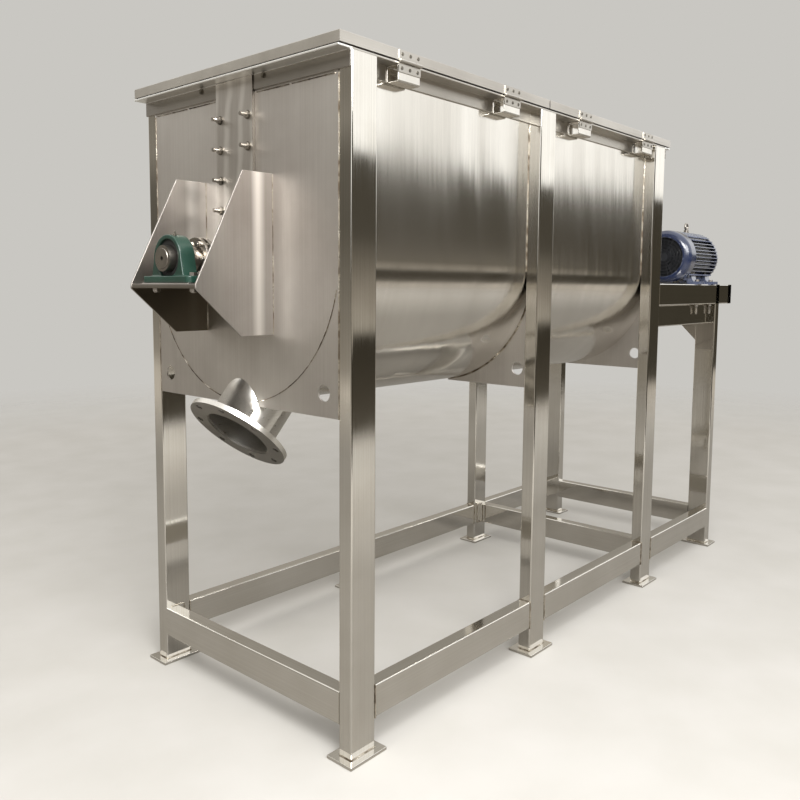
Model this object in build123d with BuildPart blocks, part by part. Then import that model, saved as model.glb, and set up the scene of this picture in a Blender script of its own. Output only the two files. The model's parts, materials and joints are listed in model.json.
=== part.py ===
from build123d import *
import os
from math import cos, radians, sin, tan

os.makedirs("parts", exist_ok=True)

# Horizontal double-ribbon mixer.
# X runs along the shaft from the outlet end to the drive end, Y from the hinge side to the back.
# The origin lies on the floor at the centre of the whole footprint.

# Frame
near_x = -1316.5
frame_length = 1990
trough_width = 890
tube_long = 100
tube_short = 50
tube_wall = 3
tube_corner = 5
foot_plate_thickness = 10
foot_plate_margin = 25
lower_rail_clearance = 90
drive_post_spacing = 720
rim_bottom_z = 1985
post_y = (trough_width + tube_short) / 2
frame_y = trough_width / 2 + tube_short
far_x = near_x + frame_length
middle_x = near_x + frame_length / 2
near_post_x = near_x + tube_long / 2
far_post_x = far_x - tube_long / 2
drive_post_x = far_x + drive_post_spacing
lower_rail_z = foot_plate_thickness + lower_rail_clearance + tube_long / 2
drive_post_y = frame_y - tube_long / 2

# Trough
trough_radius = trough_width / 2
trough_sheet = 5
shaft_z = 1440
end_sheet = 6
end_plate_drop = 2
rim_leg = 50
rim_thickness = 6
rim_top_z = rim_bottom_z + rim_thickness
trough_bottom_z = shaft_z - trough_radius
lifting_hole_radius = 24.5
lifting_hole_edge = 60
lifting_hole_rise = 67
saddle_thickness = 8
saddle_inner_y = 60
slot_radius = 45
slot_top_z = 1925
cover_half_width = 90
cover_thickness = 10
cover_bottom_z = 1367
cover_shaft_hole = 32
cover_side_gap = 1
stud_y = 68
stud_top_z = 1872
stud_pitch = 92
stud_rows = 4
lower_stud_offset = 60
stud_radius = 6
stud_reach = 30
stud_hole_clearance = 0.5
nut_radius = 10.5
nut_height = 10
bolt_head_height = 9
bolt_clearance = 0.5

# Lids, seal and hinges
gasket_thickness = 4
gasket_width = 40
gasket_setback = 5
lid_height = 30
lid_sheet = 2.5
lid_lip = 35
lid_side_overhang = 2
lid_end_setback = 3
lid_gap = 5
lid_edge_radius = 2
lid_half_width = frame_y + lid_side_overhang
lid_near_x = near_x - rim_leg + lid_end_setback
lid_far_x = far_x + rim_leg - lid_end_setback
lid_bottom_z = rim_top_z + gasket_thickness
lid_top_z = lid_bottom_z + lid_height
handle_rod_radius = 6
handle_span = 130
handle_height = 45
handle_bend = 18
handle_back_offset = 45
handle_base_radius = 14
handle_base_height = 4
hinge_reach = 7
hinge_width = 95
hinge_knuckle_radius = 5
hinge_pin_radius = 2.5
hinge_pin_fit = 0.05
hinge_leaf_thickness = 3
hinge_leaf_height = 30
hinge_knuckle_gap = 0.5
hinge_leaf_gap = 0.5
hinge_middle_knuckle = 40
hinge_block_height = 48
hinge_block_wall = 3
near_hinge_inset = 231.5
inner_near_hinge_inset = 237.5
inner_far_hinge_inset = 260.5
far_hinge_inset = 186.5
hinge_y = -frame_y - hinge_reach
hinge_z = rim_top_z + gasket_thickness / 2
hinge_1_x = near_x + near_hinge_inset
hinge_2_x = middle_x - inner_near_hinge_inset
hinge_3_x = middle_x + inner_far_hinge_inset
hinge_4_x = far_x - far_hinge_inset

# Pillow blocks of 60 mm bore
shaft_radius = 30
bearing_centre_height = 69.8
bearing_overall_height = 138
bearing_length = 238
bearing_base_width = 70
bearing_base_height = 20
bearing_foot_corner = 16
bearing_head_width = 50
bearing_neck_half_width = 84
bearing_ring_radius = 37.5
bearing_ring_screw_side = 39.7
bearing_ring_plain_side = 25.4
bearing_recess_radius = 56
bearing_recess_depth = 12
bearing_bolt_spacing = 190
bearing_slot_length = 28
bearing_slot_width = 20
bearing_bolt_radius = 8
bearing_bolt_head = 13
bearing_bolt_head_height = 10
bearing_pad_height = 3.2
near_bearing_reach = 228
far_bearing_reach = 222
running_fit = 0.05
grub_screw_radius = 4
grub_screw_inset = 9
near_bearing_x = near_x - near_bearing_reach
far_bearing_x = far_x + far_bearing_reach
bearing_foot_z = shaft_z - bearing_centre_height
shelf_top_z = bearing_foot_z - bearing_pad_height

# Bearing bracket
cheek_y = 165
cheek_thickness = 6
cheek_top_z = 1691
cheek_top_reach = 109
cheek_tip_reach = 272
cheek_tip_height = 13.5
cheek_low_reach = 120
cheek_low_z = 1218
shelf_thickness = 12
shelf_reach = 270

# Glands
gland_flange_radius = 65
gland_flange_thickness = 12
gland_barrel_radius = 50
gland_body_length = 128
gland_neck_radius = 38
gland_follower_start = 139
gland_follower_thickness = 9
gland_stud_circle_radius = 50
gland_stud_count = 6
gland_stud_radius = 5
gland_stud_reach = 12
gland_nut_radius = 9
gland_nut_height = 8

# Outlet: 200 mm pipe with a slip-on flange
outlet_angle = 48
outlet_face_reach = 11.6
outlet_face_drop = 98
outlet_pipe_radius = 109.5
outlet_bore_radius = 106.5
outlet_flange_radius = 170
outlet_flange_thickness = 16
outlet_pipe_setback = 6
outlet_bolt_circle_radius = 147.5
outlet_bolt_count = 8
outlet_bolt_radius = 11
outlet_reach = 420
outlet_face_x = near_x - outlet_face_reach
outlet_face_z = trough_bottom_z - outlet_face_drop

# Agitator
shaft_end_reach = 41.5
shaft_ring_radius = 38
shaft_ring_width = 20
shaft_ring_reach = 186
shaft_centre_hole_radius = 6
shaft_centre_hole_depth = 20
shaft_end_chamfer = 2
core_radius = 51
core_end_gap = 26
ribbon_clearance = 10
ribbon_width = 50
ribbon_thickness = 8
ribbon_spacing = 180
ribbon_end_gap = 35
ribbon_end_overrun = 60
arm_radius = 20
arm_count = 7
ribbon_outer_radius = trough_radius - trough_sheet - ribbon_clearance
inner_ribbon_radius = ribbon_outer_radius - ribbon_spacing
ribbon_length = frame_length - 2 * ribbon_end_gap
ribbon_start_x = near_x + ribbon_end_gap
arm_pitch = (ribbon_length - 2 * ribbon_end_overrun) / (arm_count - 1)
ribbon_pitch = 2 * arm_pitch
coupling_reach = 260
coupling_length = 150
coupling_hub_radius = 60
coupling_flange_radius = 92
coupling_flange_thickness = 24
coupling_gap = 4
coupling_pin_radius = 8
coupling_pin_count = 6
output_shaft_radius = 40
output_shaft_length = 290
near_shaft_end_x = near_bearing_x - shaft_end_reach
coupling_near_x = far_x + coupling_reach
coupling_middle_x = coupling_near_x + coupling_length / 2
shaft_coupling_end_x = coupling_middle_x - coupling_gap / 4
output_shaft_start_x = coupling_middle_x + coupling_gap / 4
output_shaft_end_x = output_shaft_start_x + output_shaft_length

# Drive frame
platform_top_z = 1385
platform_overhang = 170
drive_beam_inset = 51
gusset_thickness = 6
near_gusset_leg = 110
drive_gusset_leg = 100
support_beam_height = 50
bearing_beam_width = 80
reducer_beam_width = 60
reducer_beam_1_reach = 526.5
reducer_beam_2_reach = 606.5
pedestal_half_length = 150
pedestal_wall = 6
pedestal_corner = 8
platform_end_x = drive_post_x + platform_overhang
drive_beam_y = frame_y - drive_beam_inset
reducer_beam_1_x = far_x + reducer_beam_1_reach
reducer_beam_2_x = far_x + reducer_beam_2_reach
drive_beam_top_z = platform_top_z - tube_long
drive_beam_z = drive_beam_top_z - tube_long / 2
platform_z = platform_top_z - tube_long / 2

# Motor of 132 mm shaft height
motor_inset_y = 98.5
motor_reach = 389.5
motor_shaft_height = 132
motor_frame_length = 290.5
motor_shield_length = 62
motor_shaft_overhang = 80
motor_shaft_radius = 19
motor_outer_radius = 131
motor_barrel_radius = 110
fin_thickness = 4
fin_pitch = 17
fin_count = 9
rotor_radius = 69.5
rotor_clearance = 0.5
rotor_cavity_start = 17
rotor_core_start = 47
rotor_core_length = 210
rotor_near_overhang = 17
motor_foot_1_offset = 85.5
motor_foot_2_offset = 263.5
motor_foot_y = 108
motor_foot_length = 54
motor_foot_thickness = 14
motor_foot_outer = 27
motor_foot_inner = 40
motor_web_foot = 14
motor_web_top = 26
motor_web_root = 60
motor_web_height = 62
motor_bolt_radius = 6
motor_bolt_low_z = 1235
shield_radius = 124
shield_lip = 14
shield_step = 10
shield_boss_radius = 62
cowl_length = 79.5
cowl_sheet = 2.5
cowl_dome_depth = 33
quarter_turn = 90
grille_radius = 97
grille_hub_radius = 22
grille_bar = 4
grille_rings = 5
grille_spokes = 6
fan_hub_radius = 32
fan_radius = 110
fan_blades = 7
fan_blade_thickness = 4
fan_front_gap = 20
fan_back_gap = 15
fan_disc_setback = 2
box_start = 97
box_length = 120
box_height = 110
box_reducer_gap = 24
box_pad_offset_y = 135.5
box_pad_height = 90
box_corner = 8
eyebolt_offset = 190.5
eyebolt_ring_radius = 16
eyebolt_rod_radius = 4.5
eyebolt_collar_radius = 12
eyebolt_collar_height = 14
motor_y = motor_inset_y - post_y
motor_z = platform_top_z + motor_shaft_height
motor_frame_x = far_x + motor_reach
motor_frame_end_x = motor_frame_x + motor_frame_length
motor_shield_end_x = motor_frame_end_x + motor_shield_length
motor_shaft_end_x = motor_shield_end_x + motor_shaft_overhang
motor_foot_1_x = motor_frame_x + motor_foot_1_offset
motor_foot_2_x = motor_frame_x + motor_foot_2_offset
rotor_near_end_x = motor_frame_x - rotor_near_overhang
cowl_face_x = motor_frame_x - cowl_length
fan_start_x = cowl_face_x + fan_front_gap
fan_end_x = motor_frame_x - fan_back_gap
box_start_x = motor_frame_x + box_start
box_pad_y = motor_y + box_pad_offset_y
eyebolt_x = motor_frame_x + eyebolt_offset

# Belt drive
belt_count = 3
belt_pitch = 19
belt_top_width = 13
belt_height = 11
belt_side_angle = 73
groove_clearance = 0.5
groove_depth = 13
pulley_gap = 7
pulley_width = 63
motor_pulley_radius = 56
reducer_pulley_radius = 125
reducer_web_thickness = 18
reducer_hub_radius = 42
reducer_rim_depth = 26
guard_gap = 3
guard_depth = 84
guard_sheet = 2
guard_motor_radius = 72
guard_reducer_radius = 143
guard_shaft_hole = 34
pulley_start_x = motor_shield_end_x + pulley_gap
pulley_middle_x = pulley_start_x + pulley_width / 2
guard_start_x = motor_shield_end_x + guard_gap

# Reducer
reducer_input_y = 250
reducer_case_gap = 65
reducer_case_length = 190
reducer_floor_gap = 5
reducer_input_side_radius = 106
reducer_base_thickness = 22
reducer_base_low_y = -185
reducer_base_high_y = 385
reducer_flange_half_height = 12
reducer_output_cap_radius = 72
reducer_output_cap_length = 30
reducer_input_cap_radius = 52
reducer_input_cap_length = 30
input_shaft_radius = 21
input_shaft_inner_length = 103.5
input_shaft_outer_length = 139.5
bore_end_gap = 1
reducer_end_x = guard_start_x - reducer_case_gap
reducer_start_x = reducer_end_x - reducer_case_length
reducer_output_side_radius = shaft_z - drive_beam_top_z - reducer_floor_gap
box_depth = -box_pad_y - reducer_output_side_radius - box_reducer_gap
reducer_output_cap_x = reducer_start_x - reducer_output_cap_length
reducer_input_cap_x = reducer_end_x + reducer_input_cap_length
input_shaft_start_x = reducer_end_x - input_shaft_inner_length
input_shaft_end_x = reducer_end_x + input_shaft_outer_length


def tube_section(width, height, wall=tube_wall, corner=tube_corner):
    """Hollow rectangular section added to the sketch in progress."""
    RectangleRounded(width, height, corner)
    RectangleRounded(width - 2 * wall, height - 2 * wall, corner - wall + 1, mode=Mode.SUBTRACT)


# Foot plates
with BuildPart() as foot_plates:
    with BuildSketch():
        with Locations((near_post_x, 0), (middle_x, 0), (far_post_x, 0)):
            with Locations((0, post_y), (0, -post_y)):
                Rectangle(tube_long + 2 * foot_plate_margin, tube_short + 2 * foot_plate_margin)
        with Locations((drive_post_x, drive_post_y), (drive_post_x, -drive_post_y)):
            Rectangle(tube_short + 2 * foot_plate_margin, tube_long + 2 * foot_plate_margin)
    extrude(amount=foot_plate_thickness)
foot_plates.part.label = "foot_plates"
export_step(foot_plates.part, "parts/foot_plates.step")

# Posts under the trough
with BuildPart() as near_posts:
    with BuildSketch(Plane.XY.offset(foot_plate_thickness)):
        with Locations((near_post_x, post_y), (near_post_x, -post_y)):
            tube_section(tube_long, tube_short)
    extrude(amount=rim_bottom_z - foot_plate_thickness)
near_posts.part.label = "near_posts"
export_step(near_posts.part, "parts/near_posts.step")

with BuildPart() as middle_posts:
    with BuildSketch(Plane.XY.offset(foot_plate_thickness)):
        with Locations((middle_x, post_y), (middle_x, -post_y)):
            tube_section(tube_long, tube_short)
    extrude(amount=rim_bottom_z - foot_plate_thickness)
middle_posts.part.label = "middle_posts"
export_step(middle_posts.part, "parts/middle_posts.step")

with BuildPart() as far_posts:
    with BuildSketch(Plane.XY.offset(foot_plate_thickness)):
        with Locations((far_post_x, post_y), (far_post_x, -post_y)):
            tube_section(tube_long, tube_short)
    extrude(amount=rim_bottom_z - foot_plate_thickness)
far_posts.part.label = "far_posts"
export_step(far_posts.part, "parts/far_posts.step")

# Posts of the drive frame, turned a quarter
with BuildPart() as drive_posts:
    with BuildSketch(Plane.XY.offset(foot_plate_thickness)):
        with Locations((drive_post_x, drive_post_y), (drive_post_x, -drive_post_y)):
            tube_section(tube_short, tube_long)
    extrude(amount=drive_beam_top_z - foot_plate_thickness)
drive_posts.part.label = "drive_posts"
export_step(drive_posts.part, "parts/drive_posts.step")

# Lower rails along both sides
near_span_start = near_x + tube_long
near_span_length = middle_x - tube_long / 2 - near_span_start
far_span_start = middle_x + tube_long / 2
drive_span_length = drive_post_x - tube_short / 2 - far_x
with BuildPart() as side_rails:
    for span_start in (near_span_start, far_span_start):
        with BuildSketch(Plane.YZ.offset(span_start)):
            with Locations((post_y, lower_rail_z), (-post_y, lower_rail_z)):
                tube_section(tube_short, tube_long)
        extrude(amount=near_span_length)
    with BuildSketch(Plane.YZ.offset(far_x)):
        with Locations((post_y, lower_rail_z), (-post_y, lower_rail_z)):
            tube_section(tube_short, tube_long)
    extrude(amount=drive_span_length)
side_rails.part.label = "side_rails"
export_step(side_rails.part, "parts/side_rails.step")

# Lower rails across the frame
with BuildPart() as cross_rails:
    with BuildSketch(Plane.XZ.offset(-trough_radius)):
        with Locations(
            (near_x + tube_short / 2, lower_rail_z),
            (far_x - tube_short / 2, lower_rail_z),
        ):
            tube_section(tube_short, tube_long)
    extrude(amount=trough_width)
    with BuildSketch(Plane.XZ.offset(tube_long - frame_y)):
        with Locations((drive_post_x, lower_rail_z)):
            tube_section(tube_short, tube_long)
    extrude(amount=2 * (frame_y - tube_long))
cross_rails.part.label = "cross_rails"
export_step(cross_rails.part, "parts/cross_rails.step")

# Drive frame beams
with BuildPart() as drive_beams:
    with BuildSketch(Plane.YZ.offset(far_x)):
        with Locations((drive_beam_y, drive_beam_z), (-drive_beam_y, drive_beam_z)):
            tube_section(tube_short, tube_long)
    extrude(amount=drive_span_length)
drive_beams.part.label = "drive_beams"
export_step(drive_beams.part, "parts/drive_beams.step")

with BuildPart() as drive_cross_beam:
    with BuildSketch(Plane.XZ.offset(tube_long - frame_y)):
        with Locations((drive_post_x, drive_beam_z)):
            tube_section(tube_short, tube_long)
    extrude(amount=2 * (frame_y - tube_long))
drive_cross_beam.part.label = "drive_cross_beam"
export_step(drive_cross_beam.part, "parts/drive_cross_beam.step")

# Corner gussets under the drive frame
gusset_top_z = drive_beam_top_z - tube_long
with BuildPart() as gussets:
    for gusset_y in (drive_beam_y, -drive_beam_y):
        with BuildSketch(Plane.XZ.offset(-gusset_y)):
            with BuildLine():
                Polyline(
                    (far_x, gusset_top_z),
                    (far_x + near_gusset_leg, gusset_top_z),
                    (far_x, gusset_top_z - near_gusset_leg),
                    close=True,
                )
            make_face()
        extrude(amount=gusset_thickness / 2, both=True)
    with BuildSketch(Plane.YZ.offset(drive_post_x)):
        with BuildLine():
            Polyline(
                (tube_long - frame_y, gusset_top_z),
                (tube_long - frame_y + drive_gusset_leg, gusset_top_z),
                (tube_long - frame_y, gusset_top_z - drive_gusset_leg),
                close=True,
            )
        make_face()
        mirror(about=Plane.YZ)
    extrude(amount=gusset_thickness / 2, both=True)
gussets.part.label = "gussets"
export_step(gussets.part, "parts/gussets.step")

# Flat beams that carry the reducer and the drive-side bearing
support_beam_length = 2 * drive_beam_y - tube_short
support_beam_z = drive_beam_top_z - support_beam_height / 2
with BuildPart() as drive_support_beams:
    with BuildSketch(Plane.XZ.offset(-support_beam_length / 2)):
        with Locations((far_bearing_x, support_beam_z)):
            tube_section(bearing_beam_width, support_beam_height)
        with Locations((reducer_beam_1_x, support_beam_z), (reducer_beam_2_x, support_beam_z)):
            tube_section(reducer_beam_width, support_beam_height)
    extrude(amount=support_beam_length)
drive_support_beams.part.label = "drive_support_beams"
export_step(drive_support_beams.part, "parts/drive_support_beams.step")

# Pedestal that lifts the drive-side bearing to the shaft height
pedestal_height = shelf_top_z - drive_beam_top_z
pedestal_bolt_y = bearing_bolt_spacing / 2
with BuildPart() as bearing_pedestal:
    with BuildSketch(Plane.XZ.offset(-pedestal_half_length)):
        with Locations((far_bearing_x, drive_beam_top_z + pedestal_height / 2)):
            tube_section(bearing_beam_width, pedestal_height, pedestal_wall, pedestal_corner)
    extrude(amount=2 * pedestal_half_length)
    with BuildSketch(Plane.XY.offset(shelf_top_z)):
        with Locations((far_bearing_x, 0)):
            Rectangle(bearing_base_width, bearing_length)
    extrude(amount=bearing_pad_height)
    with BuildSketch(Plane.XY.offset(bearing_foot_z)):
        with Locations((far_bearing_x, pedestal_bolt_y), (far_bearing_x, -pedestal_bolt_y)):
            Circle(bearing_bolt_radius + bolt_clearance)
    extrude(amount=-pedestal_height / 2, mode=Mode.SUBTRACT)
bearing_pedestal.part.label = "bearing_pedestal"
export_step(bearing_pedestal.part, "parts/bearing_pedestal.step")

# Motor platform: two beams under the motor feet
motor_bolt_spots = [
    (x, motor_y + side * motor_foot_y)
    for x in (motor_foot_1_x, motor_foot_2_x)
    for side in (1, -1)
]
with BuildPart() as motor_beams:
    with BuildSketch(Plane.YZ.offset(far_x)):
        with Locations((-post_y, platform_z), (motor_y + motor_foot_y, platform_z)):
            tube_section(tube_short, tube_long)
    extrude(amount=drive_span_length)
    with BuildSketch(Plane.XY.offset(platform_top_z)):
        with Locations(*motor_bolt_spots):
            Circle(motor_bolt_radius + bolt_clearance)
    extrude(amount=-tube_long, mode=Mode.SUBTRACT)
motor_beams.part.label = "motor_beams"
export_step(motor_beams.part, "parts/motor_beams.step")

# Cross tubes with open ends, over the drive posts and at the end of the platform
with BuildPart() as platform_cross_tubes:
    with BuildSketch(Plane.XZ.offset(-frame_y)):
        with Locations((drive_post_x, platform_z), (platform_end_x, platform_z)):
            tube_section(tube_short, tube_long)
    extrude(amount=2 * frame_y)
platform_cross_tubes.part.label = "platform_cross_tubes"
export_step(platform_cross_tubes.part, "parts/platform_cross_tubes.step")

stub_start = drive_post_x + tube_short / 2
with BuildPart() as platform_stubs:
    with BuildSketch(Plane.YZ.offset(stub_start)):
        with Locations((-post_y, platform_z), (post_y, platform_z)):
            tube_section(tube_short, tube_long)
    extrude(amount=platform_end_x - tube_short / 2 - stub_start)
platform_stubs.part.label = "platform_stubs"
export_step(platform_stubs.part, "parts/platform_stubs.step")

# Rim angles along the sides, their upright legs notched round the posts
with BuildPart() as rim_sides:
    with BuildSketch(Plane.YZ.offset(near_x)):
        with BuildLine():
            Polyline(
                (trough_radius, rim_top_z),
                (frame_y, rim_top_z),
                (frame_y, rim_bottom_z),
                (trough_radius + rim_thickness, rim_bottom_z),
                (trough_radius + rim_thickness, rim_top_z - rim_leg),
                (trough_radius, rim_top_z - rim_leg),
                close=True,
            )
        make_face()
        mirror(about=Plane.YZ)
    extrude(amount=frame_length)
    with BuildSketch(Plane.XY.offset(rim_bottom_z)):
        with Locations((near_post_x, 0), (middle_x, 0), (far_post_x, 0)):
            Rectangle(tube_long, 2 * frame_y)
    extrude(amount=-rim_leg, mode=Mode.SUBTRACT)
rim_sides.part.label = "rim_sides"
export_step(rim_sides.part, "parts/rim_sides.step")

# Rim angles across both ends, their upright legs open at the slot covers
with BuildPart() as rim_ends:
    for face_x, side in ((near_x, -1), (far_x, 1)):
        with BuildSketch(Plane.XZ.offset(-frame_y)):
            with BuildLine():
                Polyline(
                    (face_x, rim_top_z),
                    (face_x + side * rim_leg, rim_top_z),
                    (face_x + side * rim_leg, rim_bottom_z),
                    (face_x + side * rim_thickness, rim_bottom_z),
                    (face_x + side * rim_thickness, rim_top_z - rim_leg),
                    (face_x, rim_top_z - rim_leg),
                    close=True,
                )
            make_face()
        extrude(amount=2 * frame_y)
    with BuildSketch(Plane.XY.offset(rim_bottom_z)):
        with Locations((middle_x, 0)):
            Rectangle(frame_length + 2 * rim_leg, 2 * (cover_half_width + cover_side_gap))
    extrude(amount=-rim_leg, mode=Mode.SUBTRACT)
rim_ends.part.label = "rim_ends"
export_step(rim_ends.part, "parts/rim_ends.step")

# Tee bridge across the trough under the joint of the two lids
with BuildPart() as rim_bridge:
    with BuildSketch(Plane.XZ.offset(trough_sheet - trough_radius)):
        with Locations((middle_x, rim_top_z)):
            Rectangle(rim_leg, rim_thickness, align=(Align.CENTER, Align.MAX))
            Rectangle(rim_thickness, rim_leg, align=(Align.CENTER, Align.MAX))
    extrude(amount=trough_width - 2 * trough_sheet)
rim_bridge.part.label = "rim_bridge"
export_step(rim_bridge.part, "parts/rim_bridge.step")

# Short square tubes under the rim that carry the hinges
hinge_block_depth = frame_y - trough_radius - rim_thickness
hinge_spots = (hinge_1_x, hinge_2_x, hinge_3_x, hinge_4_x)
with BuildPart() as hinge_blocks:
    for hinge_x in hinge_spots:
        with BuildSketch(Plane.YZ.offset(hinge_x - hinge_width / 2)):
            with Locations((hinge_block_depth / 2 - frame_y, rim_bottom_z - hinge_block_height / 2)):
                tube_section(hinge_block_depth, hinge_block_height, hinge_block_wall)
        extrude(amount=hinge_width)
hinge_blocks.part.label = "hinge_blocks"
export_step(hinge_blocks.part, "parts/hinge_blocks.step")

# Outlet axis, running up into the trough from the centre of the flange face
outlet_direction = (cos(radians(outlet_angle)), 0, sin(radians(outlet_angle)))
outlet_plane = Plane(
    origin=(outlet_face_x, 0, outlet_face_z), x_dir=(0, 1, 0), z_dir=outlet_direction
)

# Trough shell: half-round bottom, straight sides
trough_depth = rim_top_z - shaft_z
with BuildPart() as trough_shell:
    with BuildSketch(Plane.YZ.offset(near_x + end_sheet)):
        with Locations((0, shaft_z)):
            Circle(trough_radius)
            Rectangle(trough_width, trough_depth, align=(Align.CENTER, Align.MIN))
            Circle(trough_radius - trough_sheet, mode=Mode.SUBTRACT)
            Rectangle(
                trough_width - 2 * trough_sheet,
                trough_depth,
                align=(Align.CENTER, Align.MIN),
                mode=Mode.SUBTRACT,
            )
    extrude(amount=frame_length - 2 * end_sheet)
    with BuildSketch(outlet_plane):
        Circle(outlet_bore_radius)
    extrude(amount=outlet_reach, mode=Mode.SUBTRACT)
trough_shell.part.label = "trough_shell"
export_step(trough_shell.part, "parts/trough_shell.step")

# End plates with a shaft slot from above and two lifting holes
plate_low_z = trough_bottom_z - end_plate_drop
plate_height = rim_top_z - plate_low_z
lifting_y = trough_radius - lifting_hole_edge
lifting_z = trough_bottom_z + lifting_hole_rise
slot_height = slot_top_z - shaft_z
stud_z_list = [stud_top_z - row * stud_pitch for row in range(stud_rows)]
stud_z_list += [shaft_z + lower_stud_offset, shaft_z - lower_stud_offset]
stud_spots = [(side * stud_y, z) for z in stud_z_list for side in (1, -1)]


def end_plate_outline():
    """End plate with its shaft slot and lifting holes, added to the sketch in progress."""
    with Locations((0, plate_low_z)):
        Rectangle(trough_width, plate_height, align=(Align.CENTER, Align.MIN))
    with Locations((0, shaft_z)):
        Circle(slot_radius, mode=Mode.SUBTRACT)
        Rectangle(
            2 * slot_radius, slot_height, align=(Align.CENTER, Align.MIN), mode=Mode.SUBTRACT
        )
    with Locations((lifting_y, lifting_z), (-lifting_y, lifting_z)):
        Circle(lifting_hole_radius, mode=Mode.SUBTRACT)


with BuildPart() as near_end_plate:
    with BuildSketch(Plane.YZ.offset(near_x)):
        end_plate_outline()
    extrude(amount=end_sheet)
    with BuildSketch(outlet_plane):
        Circle(outlet_bore_radius)
    extrude(amount=outlet_reach, mode=Mode.SUBTRACT)
near_end_plate.part.label = "near_end_plate"
export_step(near_end_plate.part, "parts/near_end_plate.step")

with BuildPart() as far_end_plate:
    with BuildSketch(Plane.YZ.offset(far_x - end_sheet)):
        end_plate_outline()
    extrude(amount=end_sheet)
far_end_plate.part.label = "far_end_plate"
export_step(far_end_plate.part, "parts/far_end_plate.step")

# Saddle plates between the middle posts and the round of the trough
saddle_height = shaft_z - plate_low_z
with BuildPart() as saddle_plates:
    with BuildSketch(Plane.YZ.offset(middle_x - saddle_thickness / 2)):
        with Locations((0, plate_low_z)):
            Rectangle(trough_width, saddle_height, align=(Align.CENTER, Align.MIN))
            Rectangle(2 * saddle_inner_y, saddle_height, mode=Mode.SUBTRACT)
        with Locations((0, shaft_z)):
            Circle(trough_radius, mode=Mode.SUBTRACT)
        with Locations((lifting_y, lifting_z), (-lifting_y, lifting_z)):
            Circle(lifting_hole_radius, mode=Mode.SUBTRACT)
    extrude(amount=saddle_thickness)
saddle_plates.part.label = "saddle_plates"
export_step(saddle_plates.part, "parts/saddle_plates.step")

# Cover plates over the shaft slots
with BuildPart() as slot_covers:
    for cover_x in (near_x - cover_thickness, far_x):
        with BuildSketch(Plane.YZ.offset(cover_x)):
            with Locations((0, cover_bottom_z)):
                Rectangle(
                    2 * cover_half_width,
                    rim_bottom_z - cover_bottom_z,
                    align=(Align.CENTER, Align.MIN),
                )
            with Locations((0, shaft_z)):
                Circle(cover_shaft_hole, mode=Mode.SUBTRACT)
            with Locations(*stud_spots):
                Circle(stud_radius + stud_hole_clearance, mode=Mode.SUBTRACT)
        extrude(amount=cover_thickness)
slot_covers.part.label = "slot_covers"
export_step(slot_covers.part, "parts/slot_covers.step")

with BuildPart() as cover_studs:
    for face_x, side in ((near_x, -1), (far_x, 1)):
        with BuildSketch(Plane.YZ.offset(face_x)):
            with Locations(*stud_spots):
                Circle(stud_radius)
        extrude(amount=side * (cover_thickness + stud_reach))
        with BuildSketch(Plane.YZ.offset(face_x + side * cover_thickness)):
            with Locations(*stud_spots):
                RegularPolygon(nut_radius, 6)
        extrude(amount=side * nut_height)
cover_studs.part.label = "cover_studs"
export_step(cover_studs.part, "parts/cover_studs.step")

# Bracket for the outer bearing: two cheeks and a shelf with a raised seat
bolt_y = bearing_bolt_spacing / 2
cheek_top_x = near_x - cheek_top_reach
cheek_tip_x = near_x - cheek_tip_reach
cheek_low_x = near_x - cheek_low_reach
with BuildPart() as bracket_cheeks:
    for cheek_side in (1, -1):
        with BuildSketch(Plane.XZ.offset(-cheek_side * cheek_y)):
            with BuildLine():
                Polyline(
                    (near_x, cheek_top_z),
                    (cheek_top_x, cheek_top_z),
                    (cheek_tip_x, shelf_top_z),
                    (cheek_tip_x, shelf_top_z - cheek_tip_height),
                    (cheek_low_x, cheek_low_z),
                    (near_x, cheek_low_z),
                    close=True,
                )
            make_face()
        extrude(amount=cheek_thickness / 2, both=True)
bracket_cheeks.part.label = "bracket_cheeks"
export_step(bracket_cheeks.part, "parts/bracket_cheeks.step")

with BuildPart() as bracket_shelf:
    with BuildSketch(Plane.XY.offset(shelf_top_z)):
        with Locations((near_x, 0)):
            Rectangle(
                shelf_reach, 2 * cheek_y - cheek_thickness, align=(Align.MAX, Align.CENTER)
            )
    extrude(amount=-shelf_thickness)
    with BuildSketch(Plane.XY.offset(shelf_top_z)):
        with Locations((near_bearing_x, 0)):
            Rectangle(bearing_base_width, bearing_length)
    extrude(amount=bearing_pad_height)
    with BuildSketch(Plane.XY.offset(bearing_foot_z)):
        with Locations((near_bearing_x, bolt_y), (near_bearing_x, -bolt_y)):
            Circle(bearing_bolt_radius + bolt_clearance)
    extrude(amount=-shelf_thickness - bearing_pad_height, mode=Mode.SUBTRACT)
bracket_shelf.part.label = "bracket_shelf"
export_step(bracket_shelf.part, "parts/bracket_shelf.step")

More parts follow.
